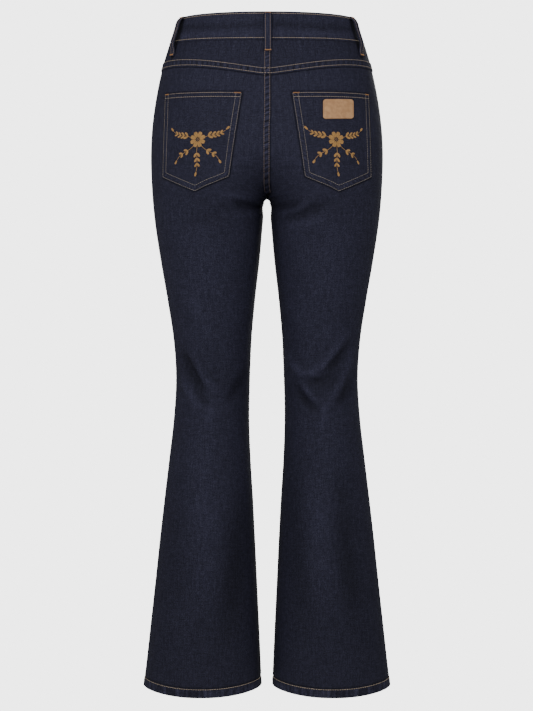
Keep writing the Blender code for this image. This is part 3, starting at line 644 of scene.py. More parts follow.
def denim_weave():
    """Right-hand 3/1 twill on the cloth's own coordinates. Each warp yarn
    floats over three picks and dips under one, a pick later than its
    neighbour, so the pale weft shows in slanting rows. The yarns are uneven
    along their length and the dye is cloudy and speckled. The wear mark makes
    the face paler above nought and darker below, for wear and for painted
    light and shade on ridges, creases and puckers, and the edge mark paints
    shade right beside a raised edge, with some darker dye."""
    tree, given, made = node_group(
        "denim_weave",
        (("Warp", "NodeSocketColor", (0.02, 0.02, 0.03, 1)),
         ("Weft", "NodeSocketColor", (0.1, 0.1, 0.12, 1)),
         ("Weft Shows", "NodeSocketFloat", 0.4)),
        (("Color", "NodeSocketColor"), ("Height", "NodeSocketFloat"),
         ("Rough", "NodeSocketFloat")))
    cloth = tree.nodes.new("ShaderNodeUVMap")
    cloth.uv_map = "cloth"
    place = cloth.outputs["UV"]
    apart = tree.nodes.new("ShaderNodeSeparateXYZ")
    tree.links.new(place, apart.inputs[0])
    warp = calc(tree, "DIVIDE", apart.outputs["X"], WARP_WIDE)
    pick = calc(tree, "DIVIDE", apart.outputs["Y"], PICK_TALL)
    aside = calc(tree, "ABSOLUTE", calc(tree, "SUBTRACT", calc(tree, "FRACT", warp), 0.5))
    round_yarn = calc(tree, "SUBTRACT", 1.0, product(tree, aside, aside, 3.6))
    beat = product(tree, calc(tree, "ADD", pick, calc(tree, "FLOOR", warp)), 0.25)
    under = spread(tree, calc(tree, "FRACT", beat), 0.2, 0.32, 1.0, 0.0)
    height = product(tree, round_yarn, calc(tree, "SUBTRACT", 1.0, product(tree, under, 0.7)))
    slub = grain(tree, place, SLUB_WAVES, 3.0)
    gather = product(tree, spread(tree, grain(tree, place, GATHER_WAVES, 1.0),
                                  0.34, 0.66, -1.0, 1.0), marked(tree, "roped"))
    shade = spread(tree, slub, 0.3, 0.7, 0.89, 1.11)
    for waves, detail, contrast in UNEVEN:
        shade = product(tree, shade, spread(tree, grain(tree, place, waves, detail),
                                            0.3, 0.7, 1 - contrast, 1 + contrast))
    # Wear and painted light and shade from the wear mark, and painted shade beside raised edges
    # from the edge mark.
    shade = product(tree, shade,
                    calc(tree, "ADD", 1.0, product(tree, gather, 0.36)),
                    calc(tree, "ADD", 1.0, product(tree, marked(tree, "wear_and_painted_light"), 0.3)),
                    spread(tree, marked(tree, "edge_shade_and_dye"), 0.62, 1.0, 1.0, 0.36))
    yarns = blend(tree, product(tree, under, given.outputs["Weft Shows"]),
                  given.outputs["Warp"], given.outputs["Weft"])
    grey = tree.nodes.new("ShaderNodeCombineColor")
    for channel in ("Red", "Green", "Blue"):
        tree.links.new(shade, grey.inputs[channel])
    tree.links.new(blend(tree, 1.0, yarns, grey.outputs["Color"], "MULTIPLY"),
                   made.inputs["Color"])
    uneven = calc(tree, "ADD", product(tree, slub, 0.8), product(tree, gather, 2.5))
    tree.links.new(calc(tree, "ADD", height, uneven), made.inputs["Height"])
    tree.links.new(spread(tree, slub, 0.3, 0.7, 0.86, 0.74), made.inputs["Rough"])
    return tree


weave = denim_weave()


def finish_material(name, roughness, metallic=0.0, specular=0.5):
    """A material with its Principled shader, ready for nodes."""
    finish = bpy.data.materials.new(name)
    finish.use_nodes = True
    shader = finish.node_tree.nodes["Principled BSDF"]
    shader.inputs["Roughness"].default_value = roughness
    shader.inputs["Metallic"].default_value = metallic
    shader.inputs["Specular IOR Level"].default_value = specular
    return finish, finish.node_tree, shader


def bumped(tree, shader, height, strength, distance):
    """A Bump node between a height and a shader's normal."""
    bump = tree.nodes.new("ShaderNodeBump")
    bump.inputs["Strength"].default_value = strength
    bump.inputs["Distance"].default_value = distance
    tree.links.new(height, bump.inputs["Height"])
    tree.links.new(bump.outputs["Normal"], shader.inputs["Normal"])


def denim(name, warp, weft, shows):
    """One face of the denim: the weave in its own two colours."""
    finish, tree, shader = finish_material(name, 0.8, specular=0.15)
    cloth = tree.nodes.new("ShaderNodeGroup")
    cloth.node_tree = weave
    cloth.inputs["Warp"].default_value = (*warp, 1)
    cloth.inputs["Weft"].default_value = (*weft, 1)
    cloth.inputs["Weft Shows"].default_value = shows
    tree.links.new(cloth.outputs["Color"], shader.inputs["Base Color"])
    tree.links.new(cloth.outputs["Rough"], shader.inputs["Roughness"])
    bumped(tree, shader, cloth.outputs["Height"], 0.5, 0.12 * MM)
    return finish


DENIM_OUT = denim("denim_face", (0.0188, 0.0187, 0.0378), (0.085, 0.086, 0.121), 0.35)
DENIM_IN = denim("denim_reverse", (0.045, 0.050, 0.068), (0.23, 0.24, 0.26), 0.75)
DENIM = (DENIM_OUT, DENIM_IN)


HEM_STITCH = 13 * MM


def hem_shape(angle, level, half, leg, across):
    """Lift in the hem band: slow waves between the stitches and the edge, and
    a groove along the stitches; how far the band is roped; and its tone: paler
    over the band with wear, and a painted shadow line 2.2 mm above the
    stitches, along the edge of the turned-up layer inside."""
    up = level - hem_level(angle, half)
    over = up - HEM_STITCH
    band = 1 - ramp(over + 1.5 * MM, 1.5)
    wave = pucker(across + 0.45 * up + 0.07 * leg, 19 * MM)
    groove = bell(over, 1.2)
    above = ramp(over - 1 * MM, 2) * (1 - ramp(over - 3 * MM, 14))
    lift = (0.25 * wave * band + 0.15 * wave * above + 0.5 * band - 0.35 * groove) * MM
    return lift, band + 0.25 * above, 0.55 * band - 1.1 * bell(over - 2.2 * MM, 1.3)


# The left pocket's corners in millimetres: distance from the mid plane, level.
POCKET = {
    "top_out": (153.5, -121.0), "top_in": (36.5, -124.0),
    "low_in": (56.5, -251.0), "tip": (107.5, -273.5), "low_out": (156.5, -250.0),
}
SEAT_LEFT, SEAT_RIGHT = 3.6 * MM, -6.0 * MM


def seat_shift(level):
    """How far the seat seam lies to the wearer's left: 0.8 mm, 1.9 mm below the
    yoke, and none at the crotch."""
    shift = 0.8 + 1.1 * ramp(-158 * MM - level, 18)
    return shift * ramp(level - CROTCH - 3 * MM, 18) * MM


def off_seat_strip(x, level, leg):
    """Distance from the seat seam's strip, for the painted shade beside it. On
    its left side, where the strip lies flat, it counts 2.4 mm more, so less
    shade is painted there.
    """
    shift = seat_shift(level)
    return x - (SEAT_LEFT + shift - 2.4 * MM if leg > 0 else -SEAT_RIGHT - shift)


def pocket_place(across, down):
    """Angle and level of a point of the pocket: across 0 outside to 1 inside,
    down 0 at its mouth to 1 at its foot."""
    corner = {key: np.array(value) * MM for key, value in POCKET.items()}
    foot_out, tip, foot_in = (angle_at(*corner[key]) for key in ("low_out", "tip", "low_in"))
    tip_share = (tip - foot_out) / (foot_in - foot_out)
    out = corner["top_out"] + down[..., None] * (corner["low_out"] - corner["top_out"])
    inner = corner["top_in"] + down[..., None] * (corner["low_in"] - corner["top_in"])
    angle_out = angle_at(out[..., 0], out[..., 1])
    angle_in = angle_at(inner[..., 0], inner[..., 1])
    level = out[..., 1] + across * (inner[..., 1] - out[..., 1])
    straight = (corner["low_out"][1] + corner["low_in"][1]) / 2
    near_tip = np.minimum(across / tip_share, (1 - across) / (1 - tip_share))
    level = level + (corner["tip"][1] - straight) * near_tip * down ** 2
    return angle_out + across * (angle_in - angle_out), level


def off_outline(x, z, outline):
    """Distance of points from a closed line of corners, below nought inside it:
    the least distance to any side, and a count of the sides crossed above."""
    nearest, inside = np.full(x.shape, 1.0), np.zeros(x.shape, bool)
    for (ax, az), (bx, bz) in zip(outline, np.roll(outline, -1, axis=0)):
        run_x, run_z = bx - ax, bz - az
        share = ((x - ax) * run_x + (z - az) * run_z) / (run_x ** 2 + run_z ** 2)
        share = np.clip(share, 0, 1)
        nearest = np.minimum(nearest, np.hypot(x - ax - share * run_x, z - az - share * run_z))
        crossed = (x < ax) != (x < bx)
        slope = run_z / (run_x if abs(run_x) > 1e-12 else 1e-12)
        inside ^= crossed & (z < az + (x - ax) * slope)
    return np.where(inside, -nearest, nearest)


def pocket_outline():
    """Corners all round the pocket, 24 to a side."""
    side = np.linspace(0, 1, 24, endpoint=False)
    across = np.concatenate([side, 0 * side + 1, 1 - side, 0 * side])
    down = np.concatenate([0 * side, side, 0 * side + 1, 1 - side])
    angle, level = pocket_place(across, down)
    return bare_form(angle, level, 1)[:, [0, 2]]


def leg_panel(name, angle, level, half, leg, lift, wear_and_painted_light, edge_shade_and_dye, node):
    """A finished leg panel, in its solid's place. Its ridges are paler, partly
    wear and partly painted highlight, its creases have painted shade, and it
    is a little darker towards the hem."""
    plain, _ = on_form(angle, level, half, leg)
    across = cloth_lengths(plain, level)[..., 0]
    band, roped, pale = hem_shape(angle, level, half, leg, across)
    outside, inside = turned_up(angle, level, half, leg, lift + band)
    crease = drawn_in(bare_form(angle, level, half), half, leg)
    # Painted highlight on the ridges and painted shade in the creases, with the hem band's wear
    # and its painted shadow line.
    wear_and_painted_light = wear_and_painted_light - np.clip(crease / (2.6 * MM), -1.2, 1.2) * 1.05 + pale
    wear_and_painted_light = wear_and_painted_light - 0.5 * ramp(-360 * MM - level, 230) - 0.6 * ramp(-640 * MM - level, 380)
    spare = len(outside) - len(wear_and_painted_light)
    wear_and_painted_light, roped, edge_shade_and_dye = (np.concatenate([mark, np.repeat(mark[-1:], spare, axis=0)])
                            for mark in (wear_and_painted_light, roped, edge_shade_and_dye))
    piece = cloth_wall(name, outside, inside, cloth_lengths(outside, level), DENIM, wear_and_painted_light,
                       roped=roped, edge_shade_and_dye=edge_shade_and_dye)
    finish_sheet(piece, outside, node)


def back_leg(side, leg):
    """One back leg: its rows bend with the yoke seam at the top and with the
    hem at the foot. It has painted shade beside the seat strip, pocket and yoke."""
    rows = panel_rows(YOKE_SIDE)
    angle = across_panel(rows, 0 * rows, 1)
    angle, level = bent_rows(angle, rows[:, None], 1, YOKE_SIDE, YOKE_EASE,
                             yoke_seam(angle))
    x = bare_form(angle, level, 1)[..., 0]
    off_strip = off_seat_strip(x, level, leg) + np.maximum(CROTCH + 6 * MM - level, 0)
    distance = np.minimum(off_strip, off_outline(x, level, pocket_outline()))
    distance = np.minimum(distance, yoke_seam(angle) - level)
    leg_panel("back_leg_" + side, angle, level, 1, leg, 0, 0, near_edge(distance),
              "back_panel_" + side)


for side, leg in SIDES:
    back_leg(side, leg)

# -------------------------------------------------------------- front legs
# The front legs, of the same denim, run from the waist seam to the hem. Each
# is cut away in a scoop at the hip, where its edge is turned under for the
# pocket's mouth, and the left one laps the right at the fly.
WAIST_EASE = 40 * MM
MOUTH_ANGLE = math.radians(56)
MOUTH_DEPTH, MOUTH_SCOOP = 92 * MM, 2.2
FLY_FOOT = -192 * MM
FELLED_WIDE = 8.1 * MM


def mouth_angle(depth_share):
    """Angle of the pocket mouth at a share of its depth: it scoops outward."""
    return MOUTH_ANGLE * (1 - depth_share ** MOUTH_SCOOP)


def front_leg(side, leg):
    """One front leg: first the rows that start at the pocket's mouth, then whole
    ones. It is thicker along the mouth, the fly and the felled inner seams."""
    share = 1 - np.linspace(1, 0, 40) ** 1.35
    mouth = WAIST_SEAM - MOUTH_DEPTH * share
    rest = panel_rows(mouth[-1])[1:]
    rows = np.concatenate([mouth, rest])
    start = np.concatenate([mouth_angle(share), 0 * rest])
    angle = across_panel(rows, start, -1)
    angle, level = bent_rows(angle, rows[:, None], -1, WAIST_SEAM, WAIST_EASE,
                             waist_seam(angle))
    plain = bare_form(angle, level, -1)
    off_edge = cloth_lengths(plain, level)[..., 0]
    off_edge = off_edge - off_edge[:, :1]
    off_inner = off_edge[:, -1:] - off_edge
    in_mouth = ramp(level - mouth[-1], 6)
    hemmed = in_mouth * (1 - ramp(off_edge - 10 * MM, 5))
    edge = 0.7 * MM * hemmed * np.sqrt(np.clip(off_edge / (0.8 * MM), 0, 1))
    ripple = pucker(level + 0.2 * leg, 7 * MM) * hemmed * np.clip(off_edge / (4 * MM), 0, 1)
    x = plain[..., 0]
    fly = (1 - ramp(x - 40 * MM, 5)) * ramp(level - FLY_FOOT + 4 * MM, 12)
    felled = 1 - ramp(off_inner - FELLED_WIDE, 1.2)
    felled = felled * (1 + 0.2 * pucker(level + 0.1 * leg, 7 * MM))
    inseam = felled * ramp(CROTCH - 2 * MM - level, 8)
    rise = felled * ramp(level - CROTCH - 4 * MM, 8)
    rise = rise * (1 - ramp(level - FLY_FOOT, 6))
    lap = np.maximum(0.5 * fly, 0.75 * rise) if leg > 0 else 0.15 * fly
    lap = np.maximum(lap, 0.75 * inseam)
    # Along the mouth's puckers it is paler and darker by turns, wear and painted light, and it has
    # painted shade just under the waistband.
    leg_panel("front_leg_" + side, angle, level, -1, leg,
              edge + 0.14 * MM * ripple + lap * MM, ripple,
              near_edge(waist_seam(angle) - level), "front_panel_" + side)


for side, leg in SIDES:
    front_leg(side, leg)

# -------------------------------------------------------------------- hems
# At the foot of each leg the cloth is turned up 15 mm inside and sewn round
# with one row of tan thread, 13 mm above the edge.
HEM_FOLD = 15 * MM
STITCH_PITCH, STITCH_LONG = 3.5 * MM, 2.7 * MM
THREAD_WIDE, THREAD_PROUD = 0.76 * MM, 0.22 * MM


def thread_material(name, colour, dark=0.55):
    """Twisted sewing thread: fine bands across it, with painted shade between
    the plies, where the bump is low.
    """
    finish, tree, shader = finish_material(name, 0.55, specular=0.35)
    place = tree.nodes.new("ShaderNodeTexCoord").outputs["Object"]
    ply = grain(tree, place, (2600, 2600, 2600), 1.0)
    fade = grain(tree, place, (160, 160, 160), 2.0)
    shade = blend(tree, spread(tree, ply, 0.35, 0.6, 0.0, 1.0),
                  (*(c * dark for c in colour), 1), (*colour, 1))
    pale = blend(tree, spread(tree, fade, 0.35, 0.7, 0.0, 0.3), shade,
                 (*(min(1.0, c * 1.35) for c in colour), 1))
    tree.links.new(pale, shader.inputs["Base Color"])
    bumped(tree, shader, ply, 0.5, 0.1 * MM)
    return finish


def sew(points, out, pitch=STITCH_PITCH, length=STITCH_LONG):
    """Where each stitch of a row goes in and comes out, and the way out of the
    cloth there, evenly along a line of points."""
    along = lengths(points, 0)
    count = max(1, int(along[-1] / pitch))
    first = (np.arange(count) + 0.5) * along[-1] / count - length / 2

    def at(values, s):
        return np.stack([np.interp(s, along, values[:, k]) for k in range(3)], axis=1)
    return at(points, first), at(points, first + length), at(out, first + length / 2)


def threads(name, stitches, finish, wide=THREAD_WIDE, proud=THREAD_PROUD, rings=5, sides=5):
    """Stitches as one mesh. Each is a round bar from where it goes in to where
    it comes out, thin and low at both ends and full in the middle."""
    start, end, out = (np.concatenate([row[k] for row in stitches]) for k in range(3))
    t = np.linspace(0, 1, rings)
    swell = np.sin(np.pi * (0.1 + 0.8 * t))[None, :, None]
    along = end - start
    side = np.cross(along, out)
    side = side / np.linalg.norm(side, axis=1, keepdims=True)
    centre = (start[:, None] + t[None, :, None] * along[:, None]
              + out[:, None] * (proud * swell - 0.35 * wide * (1 - swell)))
    turn = (2 * np.pi * np.arange(sides) / sides)[None, None, :, None]
    ring = np.cos(turn) * side[:, None, None] + 0.8 * np.sin(turn) * out[:, None, None]
    points = centre[:, :, None] + ring * (wide / 2 * swell ** 0.5)[..., None]
    number = np.arange(rings * sides).reshape(rings, sides)
    loop = grid_faces(np.hstack([number, number[:, :1]]))
    fan = np.stack([0 * number[0, 2:], number[0, 1:-1], number[0, 2:]], axis=1)
    caps = np.concatenate([fan[:, ::-1], fan + number[-1, 0]])
    first = (rings * sides * np.arange(len(start)))[:, None, None]
    faces, caps = loop + first, caps + first
    flat = points.reshape(-1, 3)
    a, b, c = flat[loop[0, :3]]
    if np.dot(np.cross(b - a, c - a), a - centre[0, 0]) < 0:
        faces, caps = faces[..., ::-1], caps[..., ::-1]
    piece = add_mesh(name, flat, faces.reshape(-1, 4).tolist() + caps.reshape(-1, 3).tolist(),
                     [finish])
    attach(piece, "root")


def hem(side, leg):
    """The turned-up layer: a ring just inside the panels, from the turn up. The
    stitches run all round it on the outside."""
    foot = np.array([HEM_LEVEL])
    layers, rows = [], []
    rise = np.array([HEM_FOLD, HEM_FOLD - 0.5 * MM, 10 * MM, 6 * MM, HEM_TURN])[:, None]
    for half in (1, -1):
        angle = across_panel(foot, 0 * foot, half)
        level = hem_level(angle, half) + rise
        layers.append(on_form(angle + 0 * rise, level, half, leg, -1.75 * MM))
        rows.append(on_form(angle[0], hem_level(angle[0], half) + HEM_STITCH, half, leg,
                            0.1 * MM))
    points, out = (np.concatenate([back, front[:, -2:0:-1]], axis=1)
                   for back, front in zip(*layers))
    closed = np.concatenate([points, points[:, :1]], axis=1)
    piece = cloth_wall("hem_fold_" + side, points, points - out * CLOTH,
                       cloth_lengths(closed, closed[..., 2]), (DENIM_IN, DENIM_OUT), ring=True)
    finish_sheet(piece, closed,
                 "hem_" + side)
    line = [np.concatenate([back, front[-2::-1]]) for back, front in zip(*rows)]
    threads("hem_stitches_" + side, [sew(*line, 3.6 * MM, 2.95 * MM)], TAN, 0.78 * MM)


TAN = thread_material("tan_thread", (0.57, 0.45, 0.335))
for side, leg in SIDES:
    hem(side, leg)

# ------------------------------------------------------ inseams and rise
# The inseam and the front rise are felled: the edge is folded over towards
# the front and sewn down with two rows of rust cotton thread.
FELLED_ROWS = (2.0 * MM, 7.0 * MM)


def off_inner_edge(level, half, distance):
    """Angle at which a point lies the given distance from the inseam or from
    the mid plane."""
    fine = last_angle(level)[:, None] - np.linspace(0, 0.9, 160)[None, :]
    length = lengths(bare_form(fine, level[:, None], half), 1)
    return np.array([np.interp(distance, along, turned)
                     for along, turned in zip(length, fine)])


def felled_rows(side, leg):
    """The stitches of one inseam, and on the left the ones of the front rise."""
    runs = [np.linspace(CROTCH - 5 * MM, HEM_LEVEL + 16 * MM, 240)]
    if leg > 0:
        runs.append(np.linspace(FLY_FOOT - 4 * MM, CROTCH + 6 * MM, 60))
    rows = [sew(*on_form(off_inner_edge(level, -1, distance), level, -1, leg, 0.8 * MM))
            for distance in FELLED_ROWS for level in runs]
    threads("inseam_stitches_" + side, rows, RUST)


RUST = thread_material("rust_thread", (0.335, 0.245, 0.19))
for side, leg in SIDES:
    felled_rows(side, leg)

# ------------------------------------------------------------------- yokes
# Two wedges of denim between the waistband and the back legs. Their lower
# edge is felled over the legs and sewn with two rows of tan thread.
LOOPS = (  # name, half, leg, degrees from the side
    ("back", 1, -1, 89.7),
    ("side_left", 1, 1, 24.0),
    ("side_right", 1, -1, 24.0),
    ("front_left", -1, 1, 52.0),
    ("front_right", -1, -1, 52.0),
)
LOOP_WIDE, LOOP_CLOTH, LOOP_BEND = 11.2 * MM, 2.2 * MM, 170 * MM
LOOP_LEAN = 0.7
LOOP_FOOT = -62.5 * MM
YOKE_ROW_LOW = 2.2 * MM
YOKE_FELL = 11.6 * MM


def yoke_row_high(angle):
    """The upper row's height over the seam, a little more towards the side."""
    return (9.6 + 1.3 * np.cos(angle) ** 2) * MM


def yoke_lift(up, angle):
    """How far the yoke stands off the form, by the height above its seam: a
    rounded edge, a felled band with a groove at each row, then one layer."""
    band = 1 - ramp(up - YOKE_FELL, 1.3)
    edge = np.sqrt(np.clip((up + 0.5 * MM) / (0.9 * MM), 0, 1))
    grooves = bell(up - YOKE_ROW_LOW, 0.8) + bell(up - yoke_row_high(angle), 0.8)
    return (0.4 + 0.8 * band) * edge * MM - 0.25 * MM * grooves


def off_loops(points):
    """Distance of points at the waist from the nearest belt loop, in plan."""
    level = points[..., 2]
    nearest = np.full(level.shape, 1.0)
    for _, half, leg, degrees in LOOPS:
        middle = math.radians(degrees)
        at = bare_form(middle - LOOP_LEAN * math.cos(middle) * level, level, half)
        aside = np.linalg.norm((points - at * (leg, 1, 1))[..., :2], axis=-1) - LOOP_WIDE / 2
        below = np.maximum(LOOP_FOOT - level, 0)
        nearest = np.minimum(nearest, np.maximum(aside, 0) + below + np.minimum(aside, 0))
    return nearest


def yoke(side, leg):
    """One yoke, from its seam to just under the waistband: its rows follow the
    seam below and the waist above. It is puckered and paler along its rows,
    paler and darker by turns with the puckers there and under the band (wear
    and painted light), and paler at its folded edge with wear. It has painted
    shade under the band, beside the seat strip and beside the loops."""
    angle = across_panel(np.array([-60 * MM]), np.array([0.0]), 1, columns=84)
    near = np.array([-0.5, -0.3, 0.1, 0.6, 1.2, 1.7, 2.2, 2.7, 3.3, 4.5, 6.0, 7.5, 8.8,
                     9.6, 10.3, 11.0, 11.6, 12.2, 12.9, 14.0])[::-1, None] * MM
    far = np.linspace(1, 0, 15)[:-1, None]
    top = waist_seam(angle) + 1.5 * MM
    start = yoke_seam(angle) + near[0]
    level = np.concatenate([start + far * (top - start), yoke_seam(angle) + near])
    angle = to_middle(angle, -60 * MM, level)
    up = level - yoke_seam(angle)
    across = cloth_lengths(bare_form(angle, level, 1), level)[..., 0]
    ripple = pucker(across + 0.3 * up + 0.05 * leg, 8 * MM)
    by_seam = bell(up - 6 * MM, 5)
    soft = bell(top - level - 3 * MM, 5)
    lift = yoke_lift(up, angle) + 0.26 * MM * ripple * by_seam + 0.15 * MM * ripple * soft
    outside, _ = on_form(angle, level, 1, leg, lift)
    inside, _ = on_form(angle, level, 1, leg, -CLOTH)
    # Paler and darker with the puckers: wear and painted light.
    wear_and_painted_light = (2.6 * ripple + 0.3) * by_seam + 0.6 * bell(up - 0.3 * MM, 1)
    wear_and_painted_light = wear_and_painted_light - 0.35 + 0.5 * ripple * soft
    off_strip = off_seat_strip(np.abs(outside[..., 0]), level, leg)
    # Painted shade under the band, beside the seat strip and beside the loops.
    distance = np.minimum(waist_seam(angle) - level + 1.3 * MM, off_strip)
    distance = np.minimum(distance, off_loops(outside) + 1.2 * MM)
    piece = cloth_wall("yoke_cloth_" + side, outside, inside,
                       cloth_lengths(outside, level), DENIM, wear_and_painted_light,
                       edge_shade_and_dye=near_edge(distance))
    finish_sheet(piece, outside, "yoke_" + side)
    rows = [sew(*on_form(angle[0], yoke_seam(angle[0]) + height, 1, leg, 1.12 * MM))
            for height in (YOKE_ROW_LOW, yoke_row_high(angle[0]))]
    threads("yoke_stitches_" + side, rows, TAN)


for side, leg in SIDES:
    yoke(side, leg)

# --------------------------------------------------------------- seat seam
# The centre back seam is felled from the waistband to the crotch: a denim
# strip 10 mm wide, sewn down with two rows of rust thread. Both its edges are
# rounded alike; that it is proud along its right edge and flat along its left
# one is shown by painted shade beside it, stronger on the right.
SEAT_ROWS = (2.6 * MM, -5.0 * MM)
SEAT_MIDDLE, SEAT_WIDE = (SEAT_LEFT + SEAT_RIGHT) / 2, SEAT_LEFT - SEAT_RIGHT
SEAT_PITCH, SEAT_LONG = 3.3 * MM, 2.4 * MM


def across_middle(x, level, half, lift):
    """Points of both halves of the form by their distance from the mid plane."""
    x, level = np.broadcast_arrays(x, level)
    angle = angle_at(np.abs(x), level)
    (left, left_out), (right, right_out) = (
        on_form(angle, level, half, leg, lift) for leg in (1, -1))
    on_left = (x >= 0)[..., None]
    points, out = np.where(on_left, left, right), np.where(on_left, left_out, right_out)
    points[..., 0] = x
    out[..., 0] = np.where(np.abs(x) < 1e-6, 0.0, out[..., 0])
    return points, out


def seat_base(level):
    """Lift of what the strip lies on: the legs, the felled band, the yokes."""
    up = level - yoke_seam(math.pi / 2)
    return ramp(up + 2.2 * MM, 2) * yoke_lift(np.maximum(up, 1.0 * MM), math.pi / 2)


def seat_seam():
    """The strip, and the stitches that hold it and carry the yokes' own rows
    across it. Between its rows it is puckered, and paler and darker by turns
    with the ripples: wear and painted light. It has painted shade under the
    yokes' edge and under the back loop."""
    x = np.array([-6.0, -5.9, -5.6, -5.3, -5.0, -4.7, -4.2, -3.2, -2.0, -0.7, 0.5, 1.4,
                  2.0, 2.3, 2.6, 2.9, 3.2, 3.5, 3.6])[None, :] * MM
    level = np.linspace(WAIST_SEAM + 1 * MM, CROTCH + 6 * MM, 150)[:, None]
    from_edge = np.minimum(x - SEAT_RIGHT, SEAT_LEFT - x)
    edge = np.sqrt(np.clip(from_edge / (0.6 * MM), 0, 1))
    grooves = sum(bell(x - row, 0.7) for row in SEAT_ROWS)
    swell = np.cos(np.pi * np.clip((x - SEAT_MIDDLE) / SEAT_WIDE, -0.5, 0.5)) ** 2
    patchy = np.clip(1 - ((x - SEAT_MIDDLE) / (4.6 * MM)) ** 4, 0, 1)
    ripple = pucker(level + 0.45 * x, 8.0 * MM)
    fade = 0.45 + 0.55 * ramp(level - CROTCH - 10 * MM, 30)
    lift = seat_base(level) + (0.95 * edge - 0.3 * grooves) * fade * MM
    lift = lift + 0.45 * MM * ripple * swell
    at = x + seat_shift(level)
    outside, _ = across_middle(at, level, 1, lift)
    inside, _ = across_middle(at, level, 1, seat_base(level) - 0.35 * MM)
    up = level - yoke_seam(math.pi / 2)
    # Painted shade under the back loop and under the yokes' edge.
    shade = near_edge(np.minimum(LOOP_FOOT - level, np.where(up < 0, -up, 1.0)) + 0 * x)
    piece = cloth_wall("seat_seam", outside, inside, cloth_lengths(outside, level + 0 * x),
                       DENIM, (3.4 * ripple + 0.5) * patchy, edge_shade_and_dye=shade)
    finish_sheet(piece, outside)

    def stitched(x, level, lift, *stitch):
        return sew(*across_middle(x + seat_shift(level), level, 1, seat_base(level) + lift),
                   *stitch)
    down = np.linspace(WAIST_SEAM - 1 * MM, CROTCH + 7 * MM, 160)
    threads("seat_stitches", [stitched(row, down, 0.75 * MM, SEAT_PITCH, SEAT_LONG)
                              for row in SEAT_ROWS], RUST)
    x = np.linspace(SEAT_LEFT + 0.4 * MM, SEAT_ROWS[1], 12)
    threads("yoke_crossing_stitches", [
        stitched(x, yoke_seam(math.pi / 2) + height + 0 * x, 1.05 * MM)
        for height in (YOKE_ROW_LOW, yoke_row_high(math.pi / 2))], TAN)


seat_seam()

# ------------------------------------------------------------- hip facings
# Denim behind the front pockets' mouths: each shows between the scoop and the
# side seam, and goes down behind the front leg. Two rows of thread run along
# the mouth, with a bartack at each end of it.
FACING_REACH, FACING_DEPTH = 1.2, 1.1
FACING_SINK = 3.3 * MM
FACING_ROWS = (2.2 * MM, 8.6 * MM)
TACK_TALL, TACK_PITCH, TACK_THREAD = 1.9 * MM, 0.62 * MM, 0.6 * MM


def mouth_row(distance):
    """A line on the front leg, the given distance from the pocket's mouth."""
    share = np.linspace(0.0, 0.985, 60)
    row = WAIST_SEAM - MOUTH_DEPTH * share
    angle = mouth_angle(share)
    near_waist = 1 - ease((WAIST_SEAM - row) / WAIST_EASE)
    level = row + near_waist * (waist_seam(angle) - WAIST_SEAM)
    angle, level = beside(angle, level, -1, distance)
    kept = (angle > 0.004) & (level < waist_seam(angle) - 0.5 * MM)
    return angle[kept], level[kept]


def bartack(middle, along, out, long, tall=TACK_TALL):
    """A bar of close short stitches across a line, leaning by turns."""
    along = along / np.linalg.norm(along)
    across = np.cross(out, along)
    at = np.arange(-long / 2, long / 2 + TACK_PITCH / 2, TACK_PITCH)
    lean = np.where(np.arange(len(at)) % 2 == 0, 0.25, -0.25)[:, None] * TACK_PITCH * along
    centre = middle + at[:, None] * along + 0.25 * MM * out
    facing = np.repeat(out[None], len(at), axis=0)
    return (centre - across * tall / 2 - lean, centre + across * tall / 2 + lean, facing)


def hip_facing(side, leg):
    """One facing, which sinks in where it goes behind the front leg, and the
    mouth's rows and lower bartack, which lie on the front leg."""
    down = np.linspace(-0.015, FACING_DEPTH, 44)[:, None]
    share = np.linspace(0, 1, 46)[None, :]
    angle = share * FACING_REACH * mouth_angle(np.maximum(down, 0) / FACING_REACH)
    level = waist_seam(angle) - MOUTH_DEPTH * down
    inside = angle / MOUTH_ANGLE + np.maximum(down, 0) ** MOUTH_SCOOP
    sink = FACING_SINK * ease((inside - 0.56) / 0.2)
    outside, out = on_form(angle, level, -1, leg, -sink)
    # Painted shade under the mouth's edge and under the waistband.
    distance = np.minimum((1 - inside) * 85 * MM, waist_seam(angle) - level)
    piece = cloth_wall("facing_cloth_" + side, outside, outside - out * CLOTH,
                       cloth_lengths(outside, level), DENIM, edge_shade_and_dye=near_edge(distance))
    finish_sheet(piece, outside, "hip_facing_" + side)
    rows = [sew(*on_form(*mouth_row(distance), -1, leg, 0.72 * MM))
            for distance in FACING_ROWS]
    threads("mouth_stitches_" + side, rows, TAN)
    low = [row[0][-1] for row in rows]
    tack = bartack((low[0] + low[1]) / 2, low[1] - low[0], rows[0][2][-1], 8 * MM)
    threads("mouth_tack_" + side, [tack], ORANGE, TACK_THREAD)


ORANGE = thread_material("orange_thread", (0.56, 0.27, 0.09))
for side, leg in SIDES:
    hip_facing(side, leg)

# --------------------------------------------------------------------- fly
# A zip on dark tape closes the centre front. A denim shield lies behind it,
# and two curved rows on the left front leg hold its facing down.
ZIP_HALF, ZIP_CLOTH = 14 * MM, 1.0 * MM
SHIELD_RIGHT, SHIELD_LEFT = -20 * MM, 32 * MM
SLIDER_LEVEL, SLIDER_FOOT, SLIDER_THICK = -57 * MM, -114 * MM, 2.8 * MM
TOOTH = (2.9 * MM, 0.85 * MM, 0.95 * MM)
TOOTH_PITCH = 2.0 * MM
FLY_BEND = -152 * MM
FLY_CURVES = ((37 * MM, -196 * MM), (31 * MM, -189.5 * MM))


def fly_depth(level):
    """How far in the zip lies: deeper at the top, where its slider is."""
    room = (SLIDER_THICK + 1.2 * MM) * ramp(level - SLIDER_FOOT, 28)
    return 2.5 * MM + room


